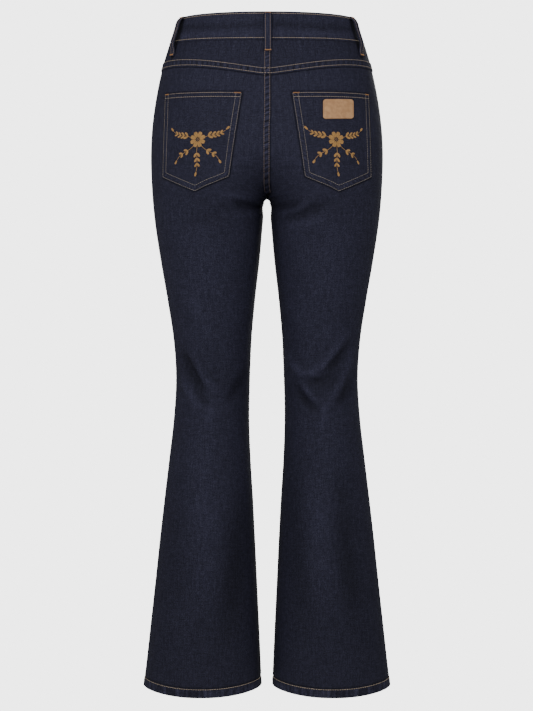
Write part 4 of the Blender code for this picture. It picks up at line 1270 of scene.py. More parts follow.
def fly_layer(name, left, right, columns, depth, thick, finish, node):
    """A strip of cloth behind the centre front, the given depth inside it."""
    level = np.linspace(WAIST_SEAM - 0.3 * MM, FLY_FOOT, 60)[:, None]
    x = np.linspace(left, right, columns)[None, :]
    level = level + 0 * x
    points, out = across_middle(x, level, -1, -depth(level))
    piece = cloth_wall(name, points, points - out * thick, cloth_lengths(points, level), finish)
    finish_sheet(piece, points, node)


def boxes(name, centre, across, out, size, finish):
    """Many small blocks as one mesh, each turned to its own directions."""
    corner = np.array([[i, j, k] for i in (-1, 1) for j in (-1, 1) for k in (-1, 1)]) / 2
    up = np.cross(across, out)
    points = centre[:, None] + sum(
        corner[None, :, axis, None] * way[:, None] * size[axis]
        for axis, way in enumerate((across, out, up)))
    box = np.array([(0, 1, 3, 2), (4, 6, 7, 5), (0, 4, 5, 1), (2, 3, 7, 6),
                    (0, 2, 6, 4), (1, 5, 7, 3)])
    faces = (box[None] + 8 * np.arange(len(centre))[:, None, None]).reshape(-1, 4)
    piece = add_mesh(name, points.reshape(-1, 3), faces.tolist(), [finish])
    piece.data.shade_flat()
    return piece


def pebble(size, square, columns=28, rows=17):
    """A rounded block about the middle: along each axis the sine or cosine is
    raised to the power 2 / square, so a larger square has sharper corners."""
    turn = np.linspace(0, 2 * np.pi, columns, endpoint=False)[None, :]
    rise = np.linspace(-np.pi / 2, np.pi / 2, rows)[:, None]

    def power(value):
        return np.sign(value) * np.abs(value) ** (2 / square)
    shape = np.stack([power(np.cos(turn)) * power(np.cos(rise)),
                      power(np.sin(turn)) * power(np.cos(rise)),
                      power(np.sin(rise)) + 0 * turn], axis=-1)
    return shape * np.array(size) / 2


def metal_solid(name, blocks, move, turn, node):
    """Closed solids as one piece of brass, turned and moved into place. Each is
    given by its rings, the first and last of which shrink to points."""
    points, faces, count = [], [], 0
    for rings in blocks:
        number = count + np.arange(rings[..., 0].size).reshape(rings.shape[:2])
        faces += grid_faces(np.hstack([number, number[:, :1]])).tolist()
        faces += [number[0, ::-1].tolist(), number[-1].tolist()]
        points.append(rings.reshape(-1, 3))
        count += number.size
    piece = add_mesh(name, np.concatenate(points) @ turn.T + move, faces, [BRASS])
    shape = bmesh.new()
    shape.from_mesh(piece.data)
    bmesh.ops.remove_doubles(shape, verts=shape.verts, dist=1e-6)
    bmesh.ops.dissolve_degenerate(shape, dist=1e-6, edges=shape.edges)
    bmesh.ops.recalc_face_normals(shape, faces=shape.faces)
    shape.to_mesh(piece.data)
    shape.free()
    piece.data.set_sharp_from_angle(angle=math.radians(40))
    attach(piece, "root")
    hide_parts(node)


def tape_material():
    """Woven zip tape: a fine twill in very dark navy."""
    finish, tree, shader = finish_material("zip_tape_cloth", 0.75, specular=0.3)
    place = tree.nodes.new("ShaderNodeTexCoord").outputs["Object"]
    rib = grain(tree, place, (2400, 300, 900), 1.0)
    tree.links.new(blend(tree, rib, (0.012, 0.013, 0.018, 1), (0.032, 0.034, 0.046, 1)),
                   shader.inputs["Base Color"])
    bumped(tree, shader, rib, 0.4, 0.1 * MM)
    return finish


def brass_material():
    """Worn yellow brass, clouded and a little scratched."""
    finish, tree, shader = finish_material("worn_brass", 0.35, metallic=1.0)
    place = tree.nodes.new("ShaderNodeTexCoord").outputs["Object"]
    cloud = grain(tree, place, (420, 420, 420), 3.0)
    scratch = grain(tree, place, (3000, 500, 500), 2.0)
    tree.links.new(blend(tree, spread(tree, cloud, 0.35, 0.65, 0.0, 1.0),
                         (0.42, 0.26, 0.12, 1), (0.66, 0.44, 0.22, 1)),
                   shader.inputs["Base Color"])
    tree.links.new(spread(tree, scratch, 0.3, 0.7, 0.28, 0.48), shader.inputs["Roughness"])
    bumped(tree, shader, scratch, 0.15, 0.05 * MM)
    return finish


def fly_curve(reach, foot):
    """A J: straight down at its reach from the middle, then a quarter ellipse
    to the centre front."""
    turn = np.linspace(0, np.pi / 2, 40)
    x = np.concatenate([np.full(40, reach), 3 * MM + (reach - 3 * MM) * np.cos(turn)[1:]])
    level = np.concatenate([np.linspace(WAIST_SEAM - 1 * MM, FLY_BEND, 40),
                            FLY_BEND + (foot - FLY_BEND) * np.sin(turn)[1:]])
    return x, level


TAPE, BRASS = tape_material(), brass_material()
fly_layer("zip_tape", -ZIP_HALF, ZIP_HALF, 16, fly_depth, ZIP_CLOTH,
          (TAPE, TAPE), "zip")
fly_layer("shield_cloth", SHIELD_RIGHT, SHIELD_LEFT, 24,
          lambda level: fly_depth(level) + ZIP_CLOTH + 0.3 * MM, CLOTH,
          DENIM, "fly_shield")

tooth_level = np.arange(SLIDER_LEVEL + 4 * MM, FLY_FOOT + 6 * MM, -TOOTH_PITCH / 2)
tooth_x = np.where(np.arange(len(tooth_level)) % 2 == 0, 0.75, -0.75) * MM
tooth_at, tooth_out = across_middle(tooth_x, tooth_level, -1, 0.45 * MM - fly_depth(tooth_level))
tooth_across = np.tile([1.0, 0.0, 0.0], (len(tooth_level), 1))
tooth_out[:, 0] = 0
tooth_out = tooth_out / np.linalg.norm(tooth_out, axis=1, keepdims=True)
teeth = boxes("zip_teeth", tooth_at, tooth_across, tooth_out, TOOTH, BRASS)
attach(teeth, "root")

slider_at, slider_out = across_middle(np.zeros(1), SLIDER_LEVEL, -1, 0)
slider_in = -slider_out[0]
slider_turn = np.stack([[1.0, 0, 0], slider_in, np.cross([1.0, 0, 0], slider_in)], axis=1)
slider_body = pebble((9 * MM, SLIDER_THICK, 10 * MM), 5)
slider_body[..., 0] *= 1 + 0.16 * slider_body[..., 2] / (5 * MM)
slider_crown = pebble((3.2 * MM, 0.9 * MM, 7 * MM), 3) + np.array([0, -1.0 * MM, 0])
slider_tab = pebble((5.5 * MM, 1.1 * MM, 20 * MM), 6) + np.array([0, -0.7 * MM, -12 * MM])
slider_tab[..., 0] *= 1 - 0.18 * np.cos(slider_tab[..., 2] / (4 * MM)) ** 2
metal_solid("slider", [slider_body, slider_crown, slider_tab],
            slider_at[0] + slider_in * (CLOTH + 0.8 * MM + SLIDER_THICK / 2),
            slider_turn, "zip_slider")

threads("fly_stitches", [sew(*across_middle(*fly_curve(reach, foot), -1, 0.62 * MM))
                         for reach, foot in FLY_CURVES], TAN)
tack_at, tack_out = across_middle(np.array([5 * MM, 33 * MM]), np.array([-197 * MM, -166 * MM]),
                                  -1, 0.7 * MM)
threads("fly_tacks", [
    bartack(tack_at[0], np.array([0.15, 0, -1.0]), tack_out[0], 8 * MM),
    bartack(tack_at[1], np.array([0.8, 0, -0.6]), tack_out[1], 8 * MM)], ORANGE, TACK_THREAD)

# ------------------------------------------------------------ back pockets
# Denim patch pockets with a pointed foot: a turned hem with two rows of thread
# at the top, two rows round the other edges that hold each pocket to its leg,
# bartacks at the corners of the mouth, and a garland worked in silk.
POCKET_TURNED, POCKET_SLANT = 10.6 * MM, 1.09
PATCH_OUT, PATCH_IN = 129.2 * MM, 83.4 * MM
PATCH_TOP, PATCH_LOW = -134.5 * MM, -164.5 * MM
PATCH_CORNER, PATCH_TILT = 4.5 * MM, 0.05
POCKET_ROWS = (1.6 * MM, 9.2 * MM)
POCKET_PUCKER = 5.4 * MM
MOUTH_ROWS = (2.4 * MM, 8.6 * MM)


def pocket_lengths(count=101):
    """For an even grid over the pocket: the way from its outer edge and from
    its mouth, along the cloth."""
    even = np.linspace(0, 1, count)
    points = bare_form(*pocket_place(even[None, :] + 0 * even[:, None],
                                     even[:, None] + 0 * even[None, :]), 1)
    return even, lengths(points, 1), lengths(points, 0)


def pocket_line(distance, top):
    """A path the given distance inside the outer edge, the foot and the inner
    edge, from the given share of the way down to the foot and back."""
    even, from_out, from_top = pocket_lengths()
    left = np.array([np.interp(distance, row, even) for row in from_out])
    right = np.array([np.interp(row[-1] - distance, row, even) for row in from_out])
    foot = np.array([np.interp(column[-1] - POCKET_SLANT * distance, column, even)
                     for column in from_top.T])
    down_left = (even > top) & (even < np.interp(left[-1], even, foot))
    down_right = (even > top) & (even < np.interp(right[-1], even, foot))
    middle = (even > left[-1]) & (even < right[-1])
    across = np.concatenate([left[down_left], even[middle], right[down_right][::-1]])
    down = np.concatenate([even[down_left], foot[middle], even[down_right][::-1]])
    return pocket_place(across, down)


def pocket_grid():
    """Shares across and down, close together near the edges."""
    even, from_out, from_top = pocket_lengths()
    near = np.array([0, 0.25, 0.7, 1.2, 1.6, 2.1, 2.8, 4.2, 6.0, 7.8, 8.7, 9.2, 9.8, 10.5,
                     11.6]) * MM

    def shares(along, count, slant):
        want = np.concatenate([near, np.linspace(14 * MM, along[-1] - 14 * MM, count),
                               along[-1] - slant * near[::-1]])
        return np.interp(want, along, even)
    across = np.array([shares(row, 34, 1) for row in from_out])
    down = shares(from_top[:, 50], 50, POCKET_SLANT)
    across = np.array([np.interp(down, even, column) for column in across.T]).T
    return across, down[:, None] + 0 * across


def pocket_lift(outer, inner, top, foot, leg, across, down):
    """Two layers where the edge is turned under, one in the middle, grooves at
    the rows, uneven puckers between them, and a mouth that stands off a little.
    Its tone is paler and darker by turns with the puckers, wear and painted
    light, and paler at the rim with wear."""
    edge = np.minimum(np.minimum(outer, inner), foot)
    turned = 1 - ramp(np.minimum(edge, top - 1 * MM) - POCKET_TURNED + 0.8 * MM, 1.4)
    rounded = np.sqrt(np.clip(np.minimum(edge, top) / (0.7 * MM), 0, 1))
    grooves = sum(bell(edge - row, 0.8) for row in POCKET_ROWS)
    grooves = grooves + sum(bell(top - row, 0.8) for row in MOUTH_ROWS)
    ripple = pucker(across * 0.12 + 0.155 * down + 0.04 * leg, 7.5 * MM)
    between = bell(edge - POCKET_PUCKER, 3)
    at_mouth = bell(top - POCKET_PUCKER, 3)
    gape = 1.0 * MM * bell(top, 14) * ramp(edge, 30)
    lift = (1.25 * MM + 0.65 * MM * turned) * rounded - 0.28 * MM * grooves
    lift = lift + 0.3 * MM * ripple * between + 0.16 * MM * ripple * at_mouth
    # Paler and darker with the puckers: wear and painted light.
    wear_and_painted_light = (2.3 * ripple + 0.4) * between + 1.1 * ripple * at_mouth - 0.2
    wear_and_painted_light = wear_and_painted_light + 0.45 * bell(edge, 0.8)
    return lift + gape, gape, wear_and_painted_light


GARLAND_HEIGHT = -196 * MM


def on_pocket(flat, leg, lift):
    """Points of a flat drawing laid on the pocket, from its middle: across
    towards the side seam, and up, in metres along the cloth."""
    levels = np.linspace(-118, -272, 78) * MM
    level = GARLAND_HEIGHT + flat[:, 1]
    middle_x = np.interp(-level, [118 * MM, 272 * MM], [99 * MM, 107 * MM])
    low, high = (angle_at(x, levels)[:, None] for x in (168 * MM, 30 * MM))
    angles = low + np.linspace(0, 1, 120) * (high - low)
    along = lengths(bare_form(angles, levels[:, None], 1), 1)
    row = np.clip(np.searchsorted(-levels, -level), 0, len(levels) - 1)
    angle = np.empty(len(flat))
    for k in np.unique(row):
        here = row == k
        centre = np.interp(angle_at(middle_x[here], level[here]), angles[k], along[k])
        angle[here] = np.interp(centre - flat[here, 0], along[k], angles[k])
    return on_form(angle, level, 1, leg, lift)


def leaf(base, heading, long, wide, bend=0.0, pitch=0.55 * MM):
    """Satin stitches of one leaf: slanted threads from its midrib to its edge
    on both sides, the edge at half its width times the square root of a sine."""
    t = np.arange(pitch, long, pitch) / long
    turn = heading + bend * t
    way = np.stack([np.cos(turn), np.sin(turn)], axis=1)
    path = base + np.cumsum(way, axis=0) * pitch
    side = np.stack([-way[:, 1], way[:, 0]], axis=1)
    half = (wide / 2 * np.sqrt(np.sin(np.pi * np.clip(t, 0, 1))))[:, None]
    return [(path - 0.2 * MM * way - 0.1 * MM * edge, path + edge * half + 0.55 * half * way)
            for edge in (side, -side)]


def rope(path, pitch=1.1 * MM, length=1.7 * MM):
    """Stem stitches: short slanted threads that overlap along a curve."""
    along = lengths(path, 0)
    at = np.arange(length / 2, along[-1] - length / 2, pitch)
    where = [np.stack([np.interp(at + off, along, path[:, k]) for k in (0, 1)], axis=1)
             for off in (-length / 2, length / 2)]
    way = where[1] - where[0]
    side = np.stack([-way[:, 1], way[:, 0]], axis=1) * 0.12
    return [(where[0] - side, where[1] + side)]


def bezier(points, count=40):
    """A cubic curve from the first of four points to the last, in metres."""
    t = np.linspace(0, 1, count)[:, None]
    a, b, c, d = (np.array(point) * MM for point in points)
    return (1 - t) ** 3 * a + 3 * t * (1 - t) ** 2 * b + 3 * t * t * (1 - t) * c + t ** 3 * d


SPRIGS = (  # its curve in mm, where its leaves stand along it, their length in mm
    (((9, 2), (20, 9), (32, 4), (42, 14)), (0.22, 0.4, 0.58, 0.76), 8.0),
    (((-9, 2), (-20, 9), (-32, 4), (-42, 14)), (0.22, 0.4, 0.58, 0.76), 8.0),
    (((5, -8), (14, -20), (26, -18), (33, -30)), (0.35, 0.62), 7.0),
    (((-5, -8), (-14, -20), (-26, -18), (-33, -30)), (0.35, 0.62), 7.0),
    (((0, -10), (2, -22), (-3, -34), (0, -48)), (0.3, 0.5, 0.7), 7.5),
)


def garland():
    """A generic garland in satin and stem stitch: a rosette of eight petals
    round a knot, a leafy sprig to each side, and smaller ones below."""
    stitches = []
    for k in range(8):
        turn = k * np.pi / 4 + np.pi / 8
        way = np.array([np.cos(turn), np.sin(turn)])
        stitches += leaf(2.6 * MM * way, turn, 9.2 * MM, 6.2 * MM)
    knot = np.linspace(0, 2 * np.pi, 10)
    stitches += rope(1.5 * MM * np.stack([np.cos(knot), np.sin(knot)], axis=1), 0.6 * MM, 1.3 * MM)
    for curve, leaves, leaf_long in SPRIGS:
        path = bezier(curve)
        stitches += rope(path)
        heading = np.unwrap(np.arctan2(*np.gradient(path, axis=0).T[::-1]))
        for n, share in enumerate(leaves):
            at = int(share * (len(path) - 1))
            shrink = 1 - 0.09 * n
            for side in (1, -1):
                stitches += leaf(path[at], heading[at] + side * 0.85,
                                 leaf_long * shrink * MM, 3.4 * shrink * MM, -side * 0.5)
        stitches += leaf(path[-1], heading[-1], 0.9 * leaf_long * MM, 3.2 * MM)
    return stitches


def back_pocket(side, leg):
    """One pocket with its rows, bartacks and garland. The right one has painted
    shade round the patch."""
    across, down = pocket_grid()
    angle, level = pocket_place(across, down)
    plain = bare_form(angle, level, 1)
    outer, top = lengths(plain, 1), lengths(plain, 0)
    lift, gape, wear_and_painted_light = pocket_lift(outer, outer[:, -1:] - outer, top,
                                   (top[-1:] - top) / POCKET_SLANT, leg, across, down)
    outside, _ = on_form(angle, level, 1, leg, lift)
    inside, _ = on_form(angle, level, 1, leg, gape - 0.1 * MM)
    shade = 0 * level
    if leg < 0:
        # Painted shade round the leather patch.
        tilted = level - PATCH_TILT * (plain[..., 0] - (PATCH_OUT + PATCH_IN) / 2)
        aside = np.maximum(PATCH_IN - plain[..., 0], plain[..., 0] - PATCH_OUT)
        above = np.maximum(PATCH_LOW - tilted, tilted - PATCH_TOP)
        shade = near_edge(np.hypot(np.maximum(aside, 0), np.maximum(above, 0))
                          + np.minimum(np.maximum(aside, above), 0) + 1.2 * MM)
    piece = cloth_wall("pocket_cloth_" + side, outside, inside,
                       cloth_lengths(outside, level), DENIM, wear_and_painted_light, edge_shade_and_dye=shade)
    finish_sheet(piece, outside, "back_pocket_" + side)
    sides = [sew(*on_form(*pocket_line(distance, 0.015), 1, leg, 1.85 * MM))
             for distance in POCKET_ROWS]
    threads("pocket_stitches_" + side, sides, DULL, 0.62 * MM)
    even, _, from_top = pocket_lengths()
    share = np.linspace(0.012, 0.988, 70)
    rows = []
    for distance in MOUTH_ROWS:
        drop = np.array([np.interp(distance, column, even) for column in from_top.T])
        stand = 1.8 * MM + 0.95 * MM * bell(distance, 14) * ease(
            np.minimum(share, 1 - share) / 0.24)
        rows.append(on_form(*pocket_place(share, np.interp(share, even, drop)), 1, leg, stand))
    threads("pocket_mouth_stitches_" + side, [sew(*row) for row in rows], TAN)
    points, out = rows[0]
    tacks = []
    for first, second, facing in ((points[0], points[4], out[2]),
                                  (points[-1], points[-5], out[-3])):
        along = (second - first) / np.linalg.norm(second - first)
        tacks.append(bartack(first + along * 5 * MM + facing * 0.15 * MM, along, facing,
                             9.5 * MM, 1.6 * MM))
    threads("pocket_tacks_" + side, tacks, ORANGE, TACK_THREAD)
    start, end = (np.concatenate([row[k] for row in garland()]) for k in (0, 1))
    (first, _), (last, _), (_, facing) = (
        on_pocket(flat, leg, 1.42 * MM) for flat in (start, end, 0.5 * (start + end)))
    threads("garland_" + side, [(first, last, facing)], SILK, 0.6 * MM, 0.3 * MM,
            rings=4, sides=4)


DULL = thread_material("dull_thread", (0.43, 0.365, 0.30))
SILK = thread_material("silk_thread", (0.58, 0.33, 0.115), 0.7)
for side, leg in SIDES:
    back_pocket(side, leg)

# ------------------------------------------------------------------- patch
# A plain tan leather patch with round corners, fixed flat on the right pocket.
# No sewing shows on it. Its face is bare but for a pressed line at its edge.


def leather_material():
    """Vegetable-tanned leather: fine pores, soft clouds, a few darker specks."""
    finish, tree, shader = finish_material("tan_leather", 0.55, specular=0.4)
    place = tree.nodes.new("ShaderNodeTexCoord").outputs["Object"]
    cloud = grain(tree, place, (160, 160, 160), 4.0)
    pore = grain(tree, place, (1900, 1900, 1900), 3.0, 0.6)
    speck = grain(tree, place, (700, 700, 900), 2.0)
    base = blend(tree, spread(tree, cloud, 0.3, 0.7, 0.0, 1.0),
                 (0.47, 0.25, 0.118, 1), (0.60, 0.343, 0.17, 1))
    dots = spread(tree, speck, 0.60, 0.72, 0.0, 0.35)
    tree.links.new(blend(tree, dots, base, (0.32, 0.165, 0.072, 1)),
                   shader.inputs["Base Color"])
    tree.links.new(spread(tree, pore, 0.3, 0.7, 0.62, 0.48), shader.inputs["Roughness"])
    bumped(tree, shader, pore, 0.35, 0.12 * MM)
    return finish


def leather_patch():
    """Rows from edge to edge of a rounded rectangle; the face is domed at its
    rim and has a groove all round, 2 mm inside it."""
    half_tall, middle = (PATCH_TOP - PATCH_LOW) / 2, (PATCH_TOP + PATCH_LOW) / 2
    near = np.array([0, 0.05, 0.25, 0.6, 1.0, 1.5, 1.9, 2.3, 2.8, 3.6, 4.5]) * MM
    x = np.concatenate([PATCH_IN + near, np.linspace(PATCH_IN, PATCH_OUT, 32)[4:-4],
                        PATCH_OUT - near[::-1]])[None, :]
    inset = PATCH_CORNER - np.clip(np.minimum(x - PATCH_IN, PATCH_OUT - x), 0, PATCH_CORNER)
    tall = half_tall - PATCH_CORNER + np.sqrt(PATCH_CORNER ** 2 - inset ** 2)
    near_share = near[:-1] / half_tall
    share = np.concatenate([1 - near_share, np.linspace(0.7, -0.7, 16), near_share[::-1] - 1])
    level = middle + share[:, None] * tall
    x = x + 0 * level
    corner_x = np.clip(np.abs(x - (PATCH_IN + PATCH_OUT) / 2)
                       - ((PATCH_OUT - PATCH_IN) / 2 - PATCH_CORNER), 0, None)
    corner_z = np.clip(np.abs(level - middle) - (half_tall - PATCH_CORNER), 0, None)
    rim = np.minimum(PATCH_CORNER - np.hypot(corner_x, corner_z), PATCH_CORNER)
    dome = np.sqrt(np.clip(1 - (1 - np.clip(rim / (0.8 * MM), 0, 1)) ** 2, 0, 1))
    press = 0.28 * MM * bell(rim - 2.0 * MM, 0.45)
    lift = 2 * MM + 0.9 * MM * dome - press
    level = level + PATCH_TILT * (x - (PATCH_OUT + PATCH_IN) / 2)
    angle = angle_at(x, level)
    outside, _ = on_form(angle, level, 1, -1, lift)
    inside, _ = on_form(angle, level, 1, -1, 1.25 * MM)
    piece = cloth_wall("leather_patch", outside, inside, cloth_lengths(outside, level),
                       (LEATHER_TAN, LEATHER_TAN))
    finish_sheet(piece, outside, "patch")


LEATHER_TAN = leather_material()
leather_patch()

# --------------------------------------------------------------- waistband
# One strip of denim folded over interlining, sewn with a row of tan thread
# along its top and one along its seam. Its left end laps over the right at
# the front and has a buttonhole worked in close stitches.
BAND_CLOTH, BAND_PROUD = 2.6 * MM, 0.6 * MM
BAND_UNDER_END, BAND_OVER_END, BAND_LAP = -79, -456, (-118, -100)
BAND_THREAD, BAND_STITCHED = 0.9 * MM, BAND_PROUD + 0.06 * MM
BAND_ROW_TOP, BAND_ROW_LOW = 3.5 * MM, 3.3 * MM


def round_form(angle, level, lift):
    """The form all round the waist: 0 at +X, a quarter turn at +Y."""
    half = np.where(np.sin(angle) >= 0, 1, -1)
    leg = np.where(np.cos(angle) >= 0, 1, -1)
    quarter = np.arccos(np.clip(np.abs(np.cos(angle)), 0, 1))
    back = (half > 0)[..., None]
    points = np.where(back, bare_form(quarter, level, 1), bare_form(quarter, level, -1))
    steady = np.clip(quarter, 0.01, math.pi / 2 - 0.004)
    out = np.where(back, outward(steady, level, np.ones_like(steady)),
                   outward(steady, level, -np.ones_like(steady)))
    mirror = np.stack([leg, 1 + 0 * leg, 1 + 0 * leg], axis=-1)
    return (points + out * np.asarray(lift)[..., None]) * mirror, out * mirror


def tucked(degrees):
    """How far in the lapped right end lies."""
    outside_lap, inside_lap = BAND_LAP
    return (BAND_CLOTH + 0.3 * MM) * ease((degrees - outside_lap) / (inside_lap - outside_lap))


def band_row(height, first, last, inside=False):
    """A row of stitches round the band on either face: below its top where the
    height is below nought, else above its seam."""
    degrees = np.linspace(first, last, 420)
    angle = np.radians(degrees)
    level = height + (waist_seam(angle) if height > 0 else 0 * angle)
    points, out = round_form(angle, level, BAND_STITCHED - tucked(degrees))
    if inside:
        points, out = points - out * (BAND_CLOTH + 0.12 * MM), -out
    return sew(points, out)


def waistband():
    """The strip's face and back, rounded together at its folded edges, with
    puckers along its rows, paler and darker by turns with them (wear and
    painted light), paler and darker streaks round it, and painted shade beside
    the loops."""
    degrees = np.concatenate([np.linspace(BAND_UNDER_END, -124, 34),
                              np.linspace(-125, BAND_OVER_END, 390)])[None, :]
    angle = np.radians(degrees)
    near = np.array([0, 0.12, 0.4, 0.85, 1.4, 2.2, 2.9, 3.5, 4.2, 5.2]) * MM
    from_top = np.concatenate([near, np.linspace(7.0, 35.0, 13) * MM])
    tall = -waist_seam(angle)
    rows = [drop + 0 * tall for drop in from_top] + [tall - drop for drop in near[::-1]]
    drop = np.concatenate(rows)
    level = -drop
    edge = np.minimum(drop, tall - drop)
    half_cloth = BAND_CLOTH / 2
    thick = half_cloth * np.sqrt(np.clip(1 - (1 - np.clip(edge / half_cloth, 0, 1)) ** 2, 0, 1))
    middle = BAND_PROUD - half_cloth - tucked(degrees) + 0 * drop
    angle = angle + 0 * drop
    plain, _ = round_form(angle, level, 0)
    across = cloth_lengths(plain, level)[..., 0]
    ripple = pucker(across + 0.5 * drop, 8.5 * MM)
    at_rows = bell(drop - 2 * MM, 2.2) + bell(tall - drop - 4 * MM, 4)
    grooves = bell(drop - BAND_ROW_TOP, 0.7) + bell(tall - drop - BAND_ROW_LOW, 0.7)
    wave = 0.25 * MM * pucker(across, 61 * MM) * ramp(edge, 12)
    face = middle + thick + 0.12 * MM * ripple * at_rows - 0.25 * MM * grooves + wave
    dark_streak = (21.5 + 1.5 * np.sin(across / (24 * MM))) * MM
    streaks = (0.25 * bell(drop - 8.5 * MM, 5) - 0.85 * bell(drop - dark_streak, 5)
               + 0.75 * bell(tall - drop - 9.5 * MM, 5.5))
    outside, _ = round_form(angle, level, face)
    inside, _ = round_form(angle, level, middle - thick + wave)
    piece = cloth_wall("band", outside, inside, cloth_lengths(outside, level),
                       (DENIM_OUT, DENIM_OUT), 1.4 * ripple * at_rows + streaks,
                       edge_shade_and_dye=near_edge(off_loops(plain) + 0.6 * MM))
    finish_sheet(piece, outside, "waistband")
    rows = [band_row(height, -97, BAND_OVER_END + 2.2)
            for height in (-BAND_ROW_TOP, BAND_ROW_LOW)]
    rows += [band_row(height, -84, BAND_OVER_END + 22, inside=True)
             for height in (-BAND_ROW_TOP, BAND_ROW_LOW)]
    end = np.linspace(-BAND_ROW_TOP, WAIST_SEAM + BAND_ROW_LOW, 24)
    end_angle = np.radians(BAND_OVER_END + 1.6) + 0 * end
    rows.append(sew(*round_form(end_angle, end, BAND_STITCHED)))
    threads("band_stitches", rows, TAN, BAND_THREAD)


BUTTON_LEVEL = -21.5 * MM
HOLE_BACK, HOLE_EYE, HOLE_SLIT, HOLE_RIM = -6 * MM, 13 * MM, 0.35 * MM, 2.2 * MM


def buttonhole():
    """Close stitches square to a slit, with a round eye at its front end and a
    rounded back end: each runs from the slit's edge to the hole's rim."""
    run = np.linspace(HOLE_BACK, HOLE_EYE, 36)
    stitches = []
    for sign in (1, -1):
        stitches.append([np.stack([run, np.full(36, sign * off)], axis=1)
                         for off in (HOLE_SLIT, HOLE_RIM)])
    for centre, turns in ((HOLE_EYE, np.linspace(-1.4, 1.4, 8)),
                          (HOLE_BACK, np.linspace(1.7, 4.6, 8))):
        way = np.stack([np.cos(turns), np.sin(turns)], axis=1)
        stitches.append([np.array([centre, 0]) + off * way for off in (HOLE_SLIT, HOLE_RIM)])

    def placed(flat):
        level = BUTTON_LEVEL + flat[:, 1]
        reach = form_at(level, "outer")
        return round_form(-np.pi / 2 + flat[:, 0] / reach, level, BAND_PROUD + 0.1 * MM)
    (first, out), (last, _) = (placed(np.concatenate(ends)) for ends in zip(*stitches))
    threads("buttonhole", [(first, last, out)], TAN, 0.55 * MM, rings=4, sides=4)


waistband()
buttonhole()

# -------------------------------------------------------------- belt loops
# Five strips of denim, folded to three layers, with a row of thread along
# each edge. Both ends are turned under and held by a bartack.
LOOP_PATH = (  # level, and how far the loop stands off there, in mm
    (-1.0, 0.3), (-5.0, 2.0), (-9.0, 4.8), (-13.0, 5.6), (-30.0, 5.6),
    (-42.0, 5.6), (-48.0, 4.2), (-53.0, 1.9), (-57.0, 0.5), (-62.5, 0.5),
)
LOOP_LONG, LOOP_ROW = 70 * MM, 2 * MM


def loop_points(turn, across, along, lift):
    """Points of a loop: across its width, along its path from 0 to 1."""
    table = np.array(LOOP_PATH) * MM
    reach = lengths(table, 0)
    reach = reach / reach[-1]
    level = np.interp(along, reach, table[:, 0])
    stand = np.mean([np.interp(np.clip(along + shift, 0, 1), reach, table[:, 1])
                     for shift in np.linspace(-0.03, 0.03, 7)], axis=0)
    over_band = ramp(level - WAIST_SEAM + 8 * MM, 5)
    away = np.sin(turn) * np.cos(turn)
    lean = LOOP_LEAN * np.sign(away) * abs(np.cos(turn)) * level
    at, out = round_form(turn - lean, level, stand + LOOP_CLOTH + BAND_PROUD * over_band
                         + lift)
    side_way = np.cross(out, [0, 0, 1])
    side_way = side_way / np.linalg.norm(side_way, axis=-1, keepdims=True)
    bend = across ** 2 / (2 * LOOP_BEND)
    return (at + side_way * np.asarray(across)[..., None]
            - out * np.asarray(bend)[..., None], out)


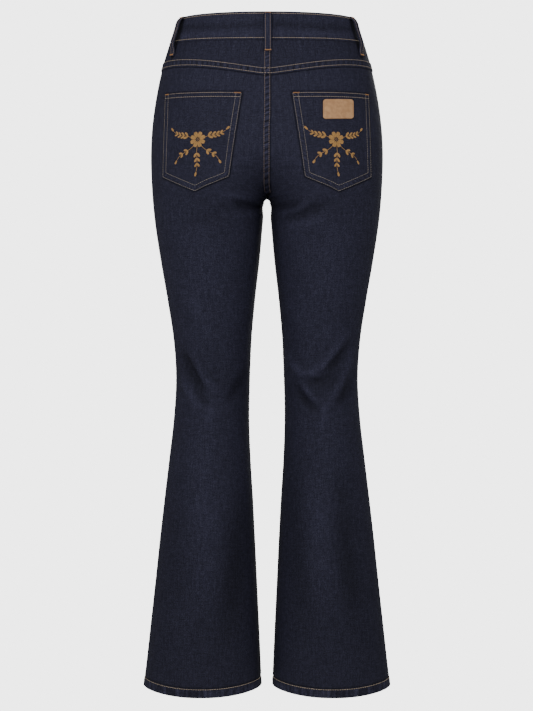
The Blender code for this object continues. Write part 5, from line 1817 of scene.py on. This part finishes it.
def belt_loop(name, half, leg, degrees):
    """One loop, its two rows of stitches and the bartack at each end."""
    turn = half * math.radians(degrees)
    turn = turn if leg > 0 else math.pi - turn
    near = np.array([0, 0.08, 0.3, 0.7, 1.2, 1.9, 2.6, 3.4]) * MM
    across = np.concatenate([near - LOOP_WIDE / 2, np.linspace(-2, 2, 5) * MM,
                             LOOP_WIDE / 2 - near[::-1]])[None, :]
    ends = np.array([0, 0.0015, 0.006, 0.014])
    along = np.concatenate([ends, np.linspace(0.025, 0.975, 66), 1 - ends[::-1]])[:, None]
    across, along = across + 0 * along, along + 0 * across
    edge = LOOP_WIDE / 2 - np.abs(across)
    tip = np.minimum(along, 1 - along) * LOOP_LONG
    round_edge = np.clip(np.minimum(edge, tip) / (LOOP_CLOTH / 2), 0, 1)
    thick = LOOP_CLOTH / 2 * np.sqrt(1 - (1 - round_edge) ** 2)
    ripple = 0.1 * MM * pucker(along * LOOP_LONG + 0.4 * across, 5.5 * MM)
    ripple = ripple * bell(edge - 2 * MM, 1.6)
    groove = 0.2 * MM * bell(edge - 2 * MM, 0.6)
    outside, _ = loop_points(turn, across, along,
                             thick - LOOP_CLOTH / 2 + ripple - groove)
    inside, _ = loop_points(turn, across, along, -thick - LOOP_CLOTH / 2)
    # A little paler, and paler and darker by turns with the puckers: wear and painted light.
    piece = cloth_wall("loop_" + name, outside, inside,
                       cloth_lengths(outside, outside[..., 2]), (DENIM_OUT, DENIM_OUT),
                       0.5 + ripple / (0.2 * MM))
    finish_sheet(piece, outside, "belt_loop_" + name)
    run = np.linspace(0.03, 0.97, 80)
    rows = [sew(*loop_points(turn, sign * (LOOP_WIDE / 2 - LOOP_ROW), run, 0),
                2.9 * MM, 2.35 * MM) for sign in (1, -1)]
    threads("loop_stitches_" + name, rows, RUST)
    tacks = []
    for end in (0.028, 0.972):
        at, out = loop_points(turn, np.array([-1.0, 0.0, 1.0]) * MM, np.full(3, end), 0)
        tacks.append(bartack(at[1], at[2] - at[0], out[1], 9.6 * MM, 1.8 * MM))
    threads("loop_tacks_" + name, tacks, ORANGE, TACK_THREAD)


for loop in LOOPS:
    belt_loop(*loop)

# ------------------------------------------------------------------ button
# A plain brass shank button at the front of the waistband, its cap pressed
# with a ring and a low dome. The tack behind it goes through the band.
BUTTON = (  # how far out along its middle, and the radius there, in mm
    (-0.1, 0.0), (-0.1, 3.2), (1.0, 3.2), (1.05, 7.6), (1.2, 8.3), (1.6, 8.5), (2.1, 8.45),
    (2.5, 8.1), (2.62, 7.6), (2.5, 7.1), (2.3, 6.7), (2.3, 5.4), (2.55, 5.0), (2.62, 4.4),
    (2.45, 3.9), (2.4, 3.2), (2.6, 2.4), (2.78, 1.6), (2.86, 0.8), (2.88, 0.0),
)
button_at, button_out = round_form(np.array([-math.pi / 2 - 0.02]), np.array([BUTTON_LEVEL]),
                                   BAND_PROUD + 0.3 * MM)
button_across = np.cross([0, 0, 1.0], button_out[0])
button_across = button_across / np.linalg.norm(button_across)
button_turn = np.stack([button_across, np.cross(button_out[0], button_across),
                        button_out[0]], axis=1)
spin = np.linspace(0, 2 * np.pi, 48, endpoint=False)
button_face, button_radius = (np.array(BUTTON) * MM).T[..., None]
button_rings = np.stack([button_radius * np.cos(spin), button_radius * np.sin(spin),
                         button_face + 0 * spin], axis=-1)
metal_solid("shank_button", [button_rings], button_at[0], button_turn, "button")
